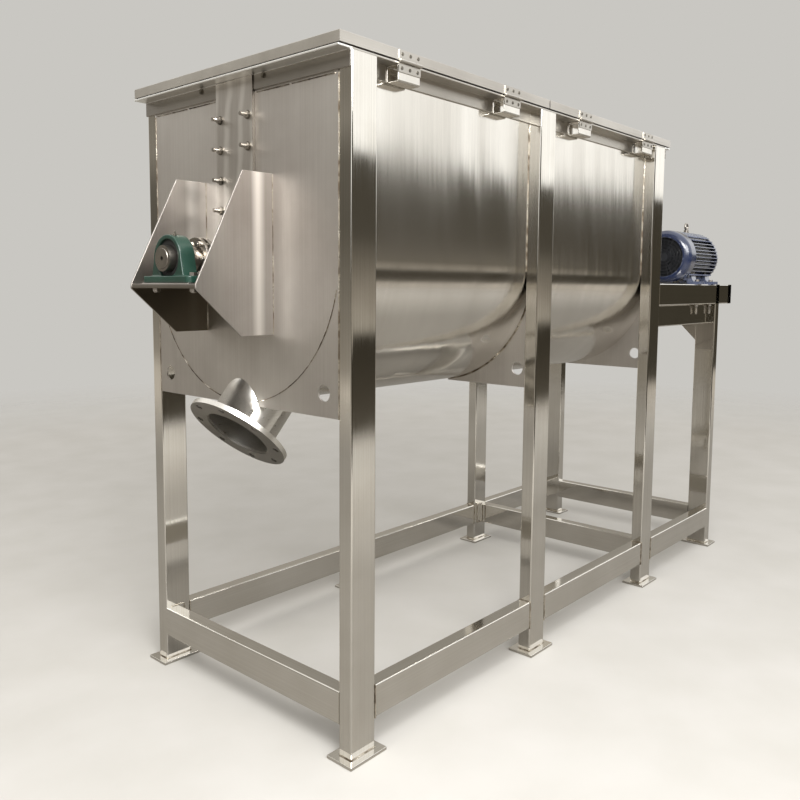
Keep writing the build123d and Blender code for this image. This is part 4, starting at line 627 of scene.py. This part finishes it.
# The cowl's grille is black inside its blue dome
GRILLE_DEPTH = 0.004
GRILLE_RADIUS = 0.0965
cowl_mesh = dressed["motor_fan_cowl"].data
cowl_mesh.materials.append(BLACK_ENAMEL)
for face in cowl_mesh.polygons:
    off_axis = math.hypot(face.center.y - MOTOR_Y, face.center.z - MOTOR_Z)
    if face.center.x < COWL_FACE_X + GRILLE_DEPTH and off_axis < GRILLE_RADIUS:
        face.material_index = 1


def shape_tree(name, **sizes):
    """Geometry tree with a mesh input and named size inputs, and its input node."""
    tree = bpy.data.node_groups.new(name, "GeometryNodeTree")
    tree.interface.new_socket("Geometry", in_out="INPUT", socket_type="NodeSocketGeometry")
    for size, value in sizes.items():
        socket = tree.interface.new_socket(size, in_out="INPUT", socket_type="NodeSocketFloat")
        socket.default_value = value
    tree.interface.new_socket("Geometry", in_out="OUTPUT", socket_type="NodeSocketGeometry")
    return tree, tree.nodes.new("NodeGroupInput").outputs


def close_shape_tree(tree, geometry, material):
    """Ends a geometry tree in plain faces of one material."""
    real = add(tree, "GeometryNodeRealizeInstances", (geometry,)).outputs[0]
    finish = {"Geometry": real, "Material": material}
    finished = add(tree, "GeometryNodeSetMaterial", finish).outputs[0]
    add(tree, "NodeGroupOutput", (finished,))
    return tree


def weld_tree(material):
    """Bead that follows edges: a round cord with small waves, closed at its ends."""
    tree, given = shape_tree("weld_bead", Radius=0.002, Step=0.008)
    line = add(tree, "GeometryNodeMeshToCurve", {"Mesh": given["Geometry"]}).outputs[0]
    even = add(
        tree,
        "GeometryNodeResampleCurve",
        {"Curve": line, "Length": given["Step"]},
        mode="LENGTH",
    ).outputs[0]
    section = add(
        tree, "GeometryNodeCurvePrimitiveCircle", {"Resolution": 6, "Radius": given["Radius"]}
    ).outputs[0]
    cord = add(
        tree,
        "GeometryNodeCurveToMesh",
        {"Curve": even, "Profile Curve": section, "Fill Caps": True},
    ).outputs[0]
    # the bead rises and falls by half a millimetre, every 11 mm or so
    ripple = add(tree, "ShaderNodeTexNoise", {"Scale": 90.0, "Detail": 1.0}).outputs["Fac"]
    height = add(tree, "ShaderNodeMapRange", (ripple, 0.3, 0.7, -0.0004, 0.0006)).outputs[0]
    outwards = add(tree, "GeometryNodeInputNormal").outputs[0]
    push = add(
        tree, "ShaderNodeVectorMath", {0: outwards, "Scale": height}, operation="SCALE"
    ).outputs[0]
    waved = add(tree, "GeometryNodeSetPosition", {"Geometry": cord, "Offset": push}).outputs[0]
    return close_shape_tree(tree, waved, material)


def screw_tree(material):
    """A round head on a washer at every point, turned to the point's facing."""
    tree, given = shape_tree(
        "screws", Head=0.005, Height=0.002, Washer=0.006, Washer_Height=0.0006
    )
    head = add(
        tree,
        "GeometryNodeMeshCylinder",
        {"Vertices": 10, "Radius": given["Head"], "Depth": given["Height"]},
    ).outputs[0]
    washer = add(
        tree,
        "GeometryNodeMeshCylinder",
        {"Vertices": 16, "Radius": given["Washer"], "Depth": given["Washer_Height"]},
    ).outputs[0]
    pair = add(tree, "GeometryNodeJoinGeometry")
    for solid in (head, washer):
        tree.links.new(solid, pair.inputs[0])
    facing = add(
        tree, "GeometryNodeInputNamedAttribute", {"Name": "facing"}, data_type="FLOAT_VECTOR"
    ).outputs[0]
    turned = add(tree, "FunctionNodeAlignRotationToVector", {"Vector": facing}, axis="Z").outputs[0]
    placed = add(
        tree,
        "GeometryNodeInstanceOnPoints",
        {"Points": given["Geometry"], "Instance": pair.outputs[0], "Rotation": turned},
    ).outputs[0]
    return close_shape_tree(tree, placed, material)


def fin_tree(material):
    """A flat bar along X at every point."""
    tree, given = shape_tree("shoulder_fins", Length=0.2, Depth=0.02, Thickness=0.004)
    size = add(
        tree, "ShaderNodeCombineXYZ", (given["Length"], given["Depth"], given["Thickness"])
    ).outputs[0]
    bar = add(tree, "GeometryNodeMeshCube", {"Size": size}).outputs[0]
    placed = add(
        tree, "GeometryNodeInstanceOnPoints", {"Points": given["Geometry"], "Instance": bar}
    ).outputs[0]
    return close_shape_tree(tree, placed, material)


def grown_piece(name, tree, points, edges, body, slot, facing=None, smooth=True, **sizes):
    """Plain mesh that a geometry tree makes from points and edges, riding on a body."""
    seed = bpy.data.meshes.new(name)
    seed.from_pydata(points, edges, [])
    if facing:
        facings = seed.attributes.new("facing", "FLOAT_VECTOR", "POINT").data
        facings.foreach_set("vector", facing * len(points))
    piece = bpy.data.objects.new(name, seed)
    bpy.context.scene.collection.objects.link(piece)
    growth = piece.modifiers.new(name, "NODES")
    growth.node_group = tree
    for socket in tree.interface.items_tree:
        if socket.in_out == "INPUT" and socket.name in sizes:
            growth[socket.identifier] = sizes[socket.name]
    plain_mesh(piece)
    if smooth:
        piece.data.shade_smooth()
        piece.data.set_sharp_from_angle(angle=GROWN_ANGLE)
    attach(piece, body)


def bead_piece(name, tree, lines, slot, radius, step):
    """Beads or wires along open lines, on the frame."""
    points, edges = [], []
    for line in lines:
        start = len(points)
        points += line
        edges += [(start + number, start + number + 1) for number in range(len(line) - 1)]
    grown_piece(name, tree, points, edges, "frame", slot, Radius=radius, Step=step)


LENGTHWISE, ACROSS, UPWARD = Vector((1, 0, 0)), Vector((0, 1, 0)), Vector((0, 0, 1))


def arc(centre, radius, start=0, end=360, steps=72, right=ACROSS, up=UPWARD):
    """Points of an arc between two angles in degrees, counted from right towards up."""
    turns = [math.radians(start + (end - start) * step / steps) for step in range(steps + 1)]
    return [
        centre + right * (radius * math.cos(turn)) + up * (radius * math.sin(turn))
        for turn in turns
    ]


def tube_ring(centre, across, along):
    """Rectangle round a tube, as a closed line from two half-side vectors."""
    corners = ((-1, -1), (1, -1), (1, 1), (-1, 1), (-1, -1))
    return [centre + across * side + along * end for side, end in corners]


# How far the middle of a bead lies off the steel beside it
PROUD = 0.0002
END_OUT = 0.0004
BEAD_OUT = 0.0005
STITCH_OUT = 0.001
BEADS = weld_tree(WELD_STEEL)
DARK_BEADS = weld_tree(DARK_WELD)

# Seam that joins each end plate to the round of the trough, seen on the plate's outer face
SEAM_RADIUS = TROUGH_RADIUS + 0.002
SEAM_Z = SHAFT_Z + 0.007
for plate, face_x in (("near", NEAR_X - PROUD), ("far", FAR_X + PROUD)):
    seam = arc(Vector((face_x, 0, SEAM_Z)), SEAM_RADIUS, start=192, end=348, steps=90)
    bead_piece(
        f"{plate}_plate_seam", DARK_BEADS, [seam], "end_sheet", radius=0.0014, step=0.006
    )

# Upright welds between the end plates, the trough's sides, the posts and the bracket's cheeks
UNDER_RIM_Z = RIM_Z - RIM_LEG - 0.002
ROUND_TOP_Z = SHAFT_Z - 0.020
uprights = []
for side in (-1, 1):
    edge_y = side * (TROUGH_RADIUS + BEAD_OUT)
    weld_ends = [(x, edge_y, PLATE_LOW_Z, UNDER_RIM_Z) for x in (NEAR_X, FAR_X)]
    for x in (
        NEAR_X + POST_WIDTH,
        MIDDLE_X - POST_WIDTH / 2,
        MIDDLE_X + POST_WIDTH / 2,
        FAR_X - POST_WIDTH,
    ):
        weld_ends.append((x, edge_y, ROUND_TOP_Z, UNDER_RIM_Z))
    for cheek_y in (CHEEK_INNER_Y, CHEEK_HIGH.y):
        weld_ends.append((NEAR_X, side * cheek_y, CHEEK_LOW.z + 0.002, CHEEK_HIGH.z - 0.001))
    uprights += [[Vector((x, y, low)), Vector((x, y, high))] for x, y, low, high in weld_ends]
bead_piece("upright_welds", BEADS, uprights, "end_sheet", radius=0.0017, step=0.009)

# Welds round both faces of the plates under the trough, with a gap in the middle
SADDLE_WELD_ENDS = ((188, 261), (279, 352))
saddle_low, saddle_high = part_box("saddle_plates")
saddle_lines = [
    arc(Vector((face_x, 0, SHAFT_Z)), TROUGH_RADIUS + 0.001, start, end, steps=40)
    for face_x in (saddle_low.x - PROUD, saddle_high.x + PROUD)
    for start, end in SADDLE_WELD_ENDS
]
bead_piece("saddle_welds", BEADS, saddle_lines, "trough_sheet", radius=0.0025, step=0.009)

# Seam between the outlet pipe and the trough, where the pipe's lines meet the round. It stops
# at the end plate.
SEAM_END_X = NEAR_X + 0.004
pipe_ring = []
for point in arc(OUTLET_FACE, PIPE_RADIUS, right=PIPE_UP, up=ACROSS):
    trough_z = SHAFT_Z - math.sqrt(TROUGH_RADIUS**2 - point.y**2)
    pipe_ring.append(point + PIPE_WAY * ((trough_z - point.z) / PIPE_WAY.z))
on_trough = [point for point in pipe_ring if point.x > SEAM_END_X]
bead_piece("outlet_weld", BEADS, [on_trough], "frame_tube", radius=0.003, step=0.008)

# Weld between the pipe and the back of its flange
flange_back = OUTLET_FACE + PIPE_WAY * (FLANGE_THICKNESS + BEAD_OUT)
flange_ring = arc(flange_back, PIPE_RADIUS + BEAD_OUT, steps=60, right=PIPE_UP, up=ACROSS)
bead_piece("flange_weld", BEADS, [flange_ring], "frame_tube", radius=0.003, step=0.008)

# Fillet welds round the feet of the posts and the ends of the rails
FOOT_BEAD_Z = 0.0105
HALF_DRIVE_POST_DEPTH = 0.050
feet_lines = []
for posts in ("near_posts", "middle_posts", "far_posts", "drive_posts"):
    low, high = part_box(posts)
    half_x = (high.x - low.x) / 2
    half_y = HALF_DRIVE_POST_DEPTH if posts == "drive_posts" else HALF_POST_DEPTH
    for side in (-1, 1):
        foot = Vector(((low.x + high.x) / 2, side * (high.y - half_y), FOOT_BEAD_Z))
        feet_lines.append(
            tube_ring(foot, LENGTHWISE * (half_x + BEAD_OUT), ACROSS * (half_y + BEAD_OUT))
        )
rail_side = HALF_POST_DEPTH + BEAD_OUT
rail_rise = UPWARD * (HALF_RAIL_HEIGHT + BEAD_OUT)
rail_lines = []
for posts in ("near_posts", "middle_posts", "far_posts"):
    low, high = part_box(posts)
    # no rail leaves the near posts outwards
    outer_ends = [] if posts == "near_posts" else [low.x - END_OUT]
    for side in (-1, 1):
        for end_x in (*outer_ends, high.x + END_OUT):
            rail_end = Vector((end_x, side * POST_Y, RAIL_Z))
            rail_lines.append(tube_ring(rail_end, ACROSS * rail_side, rail_rise))
        inner_y = side * (POST_Y - HALF_POST_DEPTH - END_OUT)
        cross_end = Vector(((low.x + high.x) / 2, inner_y, RAIL_Z))
        rail_lines.append(tube_ring(cross_end, LENGTHWISE * rail_side, rail_rise))
frame_lines = feet_lines + rail_lines
bead_piece("frame_welds", BEADS, frame_lines, "frame_tube", radius=0.0022, step=0.009)

# Stitch welds along the lower edge of the rim's upright legs
STITCH_Z = RIM_Z - RIM_LEG - 0.001
STITCH_ENDS = ((0.100, 0.245), (0.258, 0.432))
stitch_lines = [
    [Vector((face_x, side * y, STITCH_Z)) for y in ends]
    for ends in STITCH_ENDS
    for side in (-1, 1)
    for face_x in (NEAR_X - STITCH_OUT, FAR_X + STITCH_OUT)
]
bead_piece(
    "rim_stitch_welds", DARK_BEADS, stitch_lines, "end_sheet", radius=0.0013, step=0.007
)

SCREWS = screw_tree(SCREW_STEEL)

# Three screws in each hinge leaf
SCREW_PITCH = 0.034
UPPER_LEAF_YZ = (-0.5002, 2.012)
LOWER_LEAF_YZ = (-0.4982, 1.974)
leaf_screws = {"frame": [], "near_lid": [], "far_lid": []}
for lid, centres in HINGE_X.items():
    for centre_x in centres:
        for number in (-1, 0, 1):
            screw_x = centre_x + number * SCREW_PITCH
            leaf_screws[lid].append((screw_x, *UPPER_LEAF_YZ))
            leaf_screws["frame"].append((screw_x, *LOWER_LEAF_YZ))
for body, spots in leaf_screws.items():
    grown_piece(
        f"{body}_hinge_screws",
        SCREWS,
        spots,
        [],
        body,
        "fasteners",
        facing=(0, -1, 0),
        Head=0.0045,
        Height=0.0024,
        Washer=0.0052,
        Washer_Height=0.001,
    )

# Washers under the nuts of the slot covers
WASHER_OUT = 0.0005
NUT_Y = 0.068
NUT_HEIGHTS = (1.872, 1.780, 1.688, 1.596, 1.500, 1.380)
washer_spots = [
    (face_x, side * NUT_Y, height)
    for face_x in (COVER_LOW.x - WASHER_OUT, COVER_HIGH.x + WASHER_OUT)
    for side in (-1, 1)
    for height in NUT_HEIGHTS
]
grown_piece(
    "cover_washers",
    SCREWS,
    washer_spots,
    [],
    "frame",
    "fasteners",
    facing=(1, 0, 0),
    Head=0.006,
    Height=0.001,
    Washer=0.0135,
    Washer_Height=0.0025,
)

# Small bolts through the rim's upright legs, near the covers
RIM_BOLT_Y = (0.170, -0.138)
RIM_BOLT_Z = 1.9755
RIM_LEG_THICKNESS = 0.006
rim_bolt_spots = [
    (face_x, y, RIM_BOLT_Z)
    for face_x in (NEAR_X - RIM_LEG_THICKNESS, FAR_X + RIM_LEG_THICKNESS)
    for y in RIM_BOLT_Y
]
grown_piece(
    "rim_bolts",
    SCREWS,
    rim_bolt_spots,
    [],
    "frame",
    "fasteners",
    facing=(1, 0, 0),
    Head=0.0055,
    Height=0.012,
    Washer=0.0085,
    Washer_Height=0.006,
)


def lathe_piece(name, profile, axis_point, axis_way, material, steps):
    """Round piece on the frame, from a closed profile of distances along and off its axis."""
    side = axis_way.orthogonal().normalized()
    cross = axis_way.cross(side)
    shape = bmesh.new()
    rows = []
    for step in range(steps):
        turn = 2 * math.pi * step / steps
        out = side * math.cos(turn) + cross * math.sin(turn)
        rows.append([shape.verts.new(axis_point + axis_way * x + out * off) for x, off in profile])
    for step in range(steps):
        here, there = rows[step], rows[(step + 1) % steps]
        for place in range(len(profile)):
            after = (place + 1) % len(profile)
            shape.faces.new((here[place], here[after], there[after], there[place]))
    bmesh.ops.remove_doubles(shape, verts=shape.verts, dist=MERGE_DISTANCE / 10)
    bmesh.ops.recalc_face_normals(shape, faces=shape.faces)
    mesh = bpy.data.meshes.new(name)
    shape.to_mesh(mesh)
    shape.free()
    mesh.materials.append(material)
    mesh.shade_smooth()
    mesh.set_sharp_from_angle(angle=TURNED_ANGLE)
    piece = bpy.data.objects.new(name, mesh)
    bpy.context.scene.collection.objects.link(piece)
    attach(piece, "frame")


# Seals in both faces of the pillow blocks, and a grease nipple on the shoulder of each
SEAL_PROFILE = [(0, 0.0385), (0, 0.0558), (0.0035, 0.0558), (0.0055, 0.0500), (0.0035, 0.0385)]
NIPPLE_PROFILE = [
    (-0.002, 0.0),
    (-0.002, 0.0055),
    (0.005, 0.0055),
    (0.0055, 0.0030),
    (0.009, 0.0028),
    (0.011, 0.0036),
    (0.013, 0.0030),
    (0.014, 0.0),
]
SEAL_OUT = 0.0128
HOUSING_RADIUS = 0.0682
NIPPLE_OUT = 0.012
NIPPLE_LEAN = math.radians(-18)
nipple_way = Vector((0, math.sin(NIPPLE_LEAN), math.cos(NIPPLE_LEAN)))
for bearing, bearing_x in BEARING_X.items():
    for face, side in (("outer", -1), ("inner", 1)):
        lathe_piece(
            f"{bearing}_bearing_{face}_seal",
            SEAL_PROFILE,
            Vector((bearing_x + side * SEAL_OUT, 0, SHAFT_Z)),
            LENGTHWISE * side,
            RUBBER,
            steps=48,
        )
    nipple_foot = Vector((bearing_x - NIPPLE_OUT, 0, SHAFT_Z)) + nipple_way * HOUSING_RADIUS
    lathe_piece(
        f"{bearing}_grease_nipple",
        NIPPLE_PROFILE,
        nipple_foot,
        nipple_way,
        TURNED_STEEL,
        steps=16,
    )

# Wire rings and spokes that fill the cowl's grille
RING_COUNT, FIRST_RING, RING_STEP, RING_DEPTH = 11, 0.018, 0.0075, 0.0035
SPOKE_COUNT, SPOKE_ENDS, SPOKE_DEPTH = 24, (0.020, 0.094), 0.0045
ring_centre = Vector((COWL_FACE_X + RING_DEPTH, MOTOR_Y, MOTOR_Z))
spoke_centre = Vector((COWL_FACE_X + SPOKE_DEPTH, MOTOR_Y, MOTOR_Z))
wires = [
    arc(ring_centre, FIRST_RING + RING_STEP * number, steps=48) for number in range(RING_COUNT)
]
for number in range(SPOKE_COUNT):
    turn = 2 * math.pi * number / SPOKE_COUNT
    spoke = Vector((0, math.cos(turn), math.sin(turn)))
    wires.append([spoke_centre + spoke * radius for radius in SPOKE_ENDS])
WIRES = weld_tree(BLACK_ENAMEL)
bead_piece("cowl_guard_wires", WIRES, wires, "motor_black", radius=0.0009, step=0.009)

# Rolled lip round the cowl's grille, in the paler enamel that paints a highlight on it
LIP_DEPTH = 0.0016
lip_centre = Vector((COWL_FACE_X + LIP_DEPTH, MOTOR_Y, MOTOR_Z))
lip = arc(lip_centre, GRILLE_RADIUS + 0.002)
LIP = weld_tree(FIN_EDGE_HIGHLIGHT)
bead_piece("cowl_grille_lip", LIP, [lip], "motor_blue", radius=0.0015, step=0.008)

# Short fins on the shoulders of the motor, between its level and its upright fins, in the paler
# enamel that paints a highlight on them
FIN_ROOT = 0.069
END_GAP = 0.002
frame_low, frame_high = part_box("motor_frame")
for fins, height, reach, thickness in (
    ("upper_85", 0.085, 0.0995, 0.004),
    ("upper_102", 0.102, 0.0820, 0.004),
    ("lower_85", -0.085, 0.0995, 0.006),
):
    offset = (FIN_ROOT + reach) / 2
    spots = [
        (middle("motor_frame", X), MOTOR_Y + side * offset, MOTOR_Z + height) for side in (-1, 1)
    ]
    grown_piece(
        f"shoulder_fins_{fins}",
        fin_tree(FIN_EDGE_HIGHLIGHT),
        spots,
        [],
        "frame",
        "motor_blue",
        smooth=False,
        Length=frame_high.x - frame_low.x - 2 * END_GAP,
        Depth=reach - FIN_ROOT,
        Thickness=thickness,
    )


def pale_floor():
    """Painted floor: pale and matt to the eye, and in the steel's reflections darker towards the
    machine, as painted shade.
    It fades out at its edges."""
    material, tree, place = blank_material("pale_floor")
    # stains of about 330 mm
    grain = add(
        tree, "ShaderNodeTexNoise", {"Vector": place, "Scale": 3.0, "Detail": 6.0}
    ).outputs["Fac"]
    pale = add(tree, "ShaderNodeValToRGB", (grain,), [(0.3, "#B1AEA8"), (0.7, "#B8B5B0")]).outputs[0]
    floor_y = add(tree, "ShaderNodeSeparateXYZ", (place,)).outputs["Y"]
    inward = add(tree, "ShaderNodeMapRange", (floor_y, -3.0, -1.2, 0.0, 1.0)).outputs[0]
    # towards the machine the reflected floor is darker: painted shade
    reflected_shade = add(tree, "ShaderNodeValToRGB", (inward,), [(0.1, "#A8A49D"), (0.8, "#7F7B74")]).outputs[0]
    by_eye = add(tree, "ShaderNodeLightPath").outputs["Is Camera Ray"]
    tint = add(tree, "ShaderNodeMix", {0: by_eye, 6: reflected_shade, 7: pale}, data_type="RGBA").outputs[2]
    matt = add(tree, "ShaderNodeBsdfPrincipled", {"Base Color": tint, "Roughness": 0.6}).outputs[0]
    front_fade = add(tree, "ShaderNodeMapRange", (floor_y, -4.3, -3.6, 0.0, 1.0)).outputs[0]
    reach = add(tree, "ShaderNodeVectorMath", (place,), operation="LENGTH").outputs["Value"]
    back_fade = add(tree, "ShaderNodeMapRange", (reach, 5.0, 8.6, 1.0, 0.0)).outputs[0]
    share = add(tree, "ShaderNodeMath", (front_fade, back_fade), operation="MULTIPLY").outputs[0]
    clear = add(tree, "ShaderNodeBsdfTransparent").outputs[0]
    faded = add(tree, "ShaderNodeMixShader", (share, clear, matt)).outputs[0]
    add(tree, "ShaderNodeOutputMaterial", {"Surface": faded})
    return material


FLOOR_CORNERS = [(-9, -4.6, 0), (9, -4.6, 0), (9, 9, 0), (-9, 9, 0)]
floor_mesh = bpy.data.meshes.new("floor")
floor_mesh.from_pydata(FLOOR_CORNERS, [], [(0, 1, 2, 3)])
floor = bpy.data.objects.new("floor", floor_mesh)
bpy.context.scene.collection.objects.link(floor)
floor_mesh.materials.append(pale_floor())


def studio():
    """Studio that the steel mirrors: on the hinge side (-Y) a bright window wall above a dark
    one, with the windows' edge a little higher towards the far end; at the outlet's end and
    behind a dim wall, and in the far corner (+X, +Y) a grey one.
    Each wall's stops are heights: 0.5 is level, and 0 and 1 are slopes of 45 degrees down and
    up. To the eye the backdrop is plain."""
    world = bpy.data.worlds.new("studio")
    bpy.context.scene.world = world
    world.use_nodes = True
    sky = world.node_tree
    sky.nodes.clear()
    heading = add(sky, "ShaderNodeTexCoord").outputs["Generated"]
    aim = add(sky, "ShaderNodeSeparateXYZ", (heading,)).outputs
    depth = add(sky, "ShaderNodeMath", (aim["Y"],), operation="ABSOLUTE").outputs[0]
    safe_depth = add(sky, "ShaderNodeMath", (depth, 0.03), operation="MAXIMUM").outputs[0]
    slope = add(sky, "ShaderNodeMath", (aim["Z"], safe_depth), operation="DIVIDE").outputs[0]
    height = add(sky, "ShaderNodeMapRange", (slope, -1.0, 1.0, 0.0, 1.0)).outputs[0]
    near_windows = add(
        sky,
        "ShaderNodeValToRGB",
        (height,),
        [
            (0.0, "#A8A298"),
            (0.355, "#B0A99E"),
            (0.366, "#48433A"),
            (0.455, "#2B271F"),
            (0.462, "#989287"),
            (0.490, "#867F74"),
            (0.545, "#46423A"),
            (0.615, "#403C33"),
            (0.622, "#FFFEFA"),
            (1.0, "#FFFFFF"),
        ],
    ).outputs[0]
    far_windows = add(
        sky,
        "ShaderNodeValToRGB",
        (height,),
        [
            (0.0, "#A8A298"),
            (0.355, "#B0A99E"),
            (0.366, "#3A362E"),
            (0.500, "#37332A"),
            (0.626, "#3A362E"),
            (0.634, "#FFFEFA"),
            (1.0, "#FFFFFF"),
        ],
    ).outputs[0]
    far_end = add(sky, "ShaderNodeMapRange", (aim["Y"], -0.52, -0.42, 0.0, 1.0)).outputs[0]
    window_wall = add(
        sky, "ShaderNodeMix", {0: far_end, 6: near_windows, 7: far_windows}, data_type="RGBA"
    ).outputs[2]
    length = add(sky, "ShaderNodeMath", (aim["X"],), operation="ABSOLUTE").outputs[0]
    safe_length = add(sky, "ShaderNodeMath", (length, 0.25), operation="MAXIMUM").outputs[0]
    end_slope = add(sky, "ShaderNodeMath", (aim["Z"], safe_length), operation="DIVIDE").outputs[0]
    end_height = add(sky, "ShaderNodeMapRange", (end_slope, -1.0, 1.0, 0.0, 1.0)).outputs[0]
    dim_wall = add(
        sky,
        "ShaderNodeValToRGB",
        (end_height,),
        [
            (0.0, "#9A948A"),
            (0.405, "#B4ADA2"),
            (0.425, "#857F75"),
            (0.500, "#6B665D"),
            (0.555, "#524E46"),
            (0.610, "#5A564E"),
            (0.645, "#7C776E"),
            (0.700, "#6E6960"),
            (0.740, "#C6C2BA"),
            (1.0, "#F6F4F0"),
        ],
    ).outputs[0]
    to_windows = add(sky, "ShaderNodeMapRange", (aim["Y"], 0.10, -0.10, 0.0, 1.0)).outputs[0]
    walls = add(
        sky, "ShaderNodeMix", {0: to_windows, 6: dim_wall, 7: window_wall}, data_type="RGBA"
    ).outputs[2]
    corner_wall = add(
        sky,
        "ShaderNodeValToRGB",
        (height,),
        [(0.0, "#A8A298"), (0.36, "#8A857B"), (0.50, "#A9A399"), (0.87, "#86827A"), (1.0, "#B8B4AC")],
    ).outputs[0]
    behind = add(sky, "ShaderNodeMapRange", (aim["Y"], 0.10, 0.35, 0.0, 1.0)).outputs[0]
    beyond = add(sky, "ShaderNodeMapRange", (aim["X"], -0.05, 0.10, 0.0, 1.0)).outputs[0]
    far_corner = add(sky, "ShaderNodeMath", (behind, beyond), operation="MULTIPLY").outputs[0]
    hall = add(
        sky, "ShaderNodeMix", {0: far_corner, 6: walls, 7: corner_wall}, data_type="RGBA"
    ).outputs[2]
    mirrored = add(sky, "ShaderNodeBackground", {"Color": hall, "Strength": 1.35}).outputs[0]
    backdrop = add(
        sky, "ShaderNodeBackground", {"Color": linear("#C9C7C2"), "Strength": 1.0}
    ).outputs[0]
    seen = add(sky, "ShaderNodeLightPath").outputs["Is Camera Ray"]
    studio = add(sky, "ShaderNodeMixShader", (seen, mirrored, backdrop)).outputs[0]
    add(sky, "ShaderNodeOutputWorld", {"Surface": studio})


studio()


def soft_lamp(name, place, target, size, watts):
    """Large soft lamp at a place, turned to a target."""
    data = bpy.data.lights.new(name, "AREA")
    data.shape = "RECTANGLE"
    data.size, data.size_y = size
    data.energy = watts
    lamp = bpy.data.objects.new(name, data)
    turn = (Vector(target) - Vector(place)).to_track_quat("-Z", "Y").to_matrix().to_4x4()
    lamp.matrix_world = Matrix.Translation(Vector(place)) @ turn
    bpy.context.scene.collection.objects.link(lamp)


soft_lamp(
    "window_lamp", place=(-2.6, -5.0, 4.2), target=(0.0, 0.0, 1.2), size=(5.0, 2.5), watts=300.0
)
soft_lamp(
    "outlet_lamp",
    place=(-2.5, -1.75, 3.35),
    target=(-1.33, -0.08, 1.01),
    size=(1.6, 1.0),
    watts=100.0,
)

# Camera at the photograph's place, with angles in radians and the lens in picture pixels
CAMERA_PLACE = Vector((-2.86286, -2.02459, 1.36256))
YAW, PITCH, ROLL = 0.8396, -0.0956, 0.0060
LENS_PIXELS = 800.79
PICTURE_PIXELS = 800
SENSOR_WIDTH = 36.0
PICTURE_SHIFT = (0.0120, -0.0454)
forward = Vector(
    (math.sin(YAW) * math.cos(PITCH), math.cos(YAW) * math.cos(PITCH), math.sin(PITCH))
)
level_right = Vector((math.cos(YAW), -math.sin(YAW), 0.0))
level_up = level_right.cross(forward)
right = level_right * math.cos(ROLL) + level_up * math.sin(ROLL)
up = level_up * math.cos(ROLL) - level_right * math.sin(ROLL)
turn = Matrix((right, up, -forward)).transposed().to_4x4()
camera_data = bpy.data.cameras.new("camera")
camera_data.sensor_width = SENSOR_WIDTH
camera_data.lens = SENSOR_WIDTH * LENS_PIXELS / PICTURE_PIXELS
camera_data.shift_x, camera_data.shift_y = PICTURE_SHIFT
camera = bpy.data.objects.new("camera", camera_data)
camera.matrix_world = Matrix.Translation(CAMERA_PLACE) @ turn
bpy.context.scene.collection.objects.link(camera)
bpy.context.scene.camera = camera
bpy.context.scene.view_settings.view_transform = "Standard"
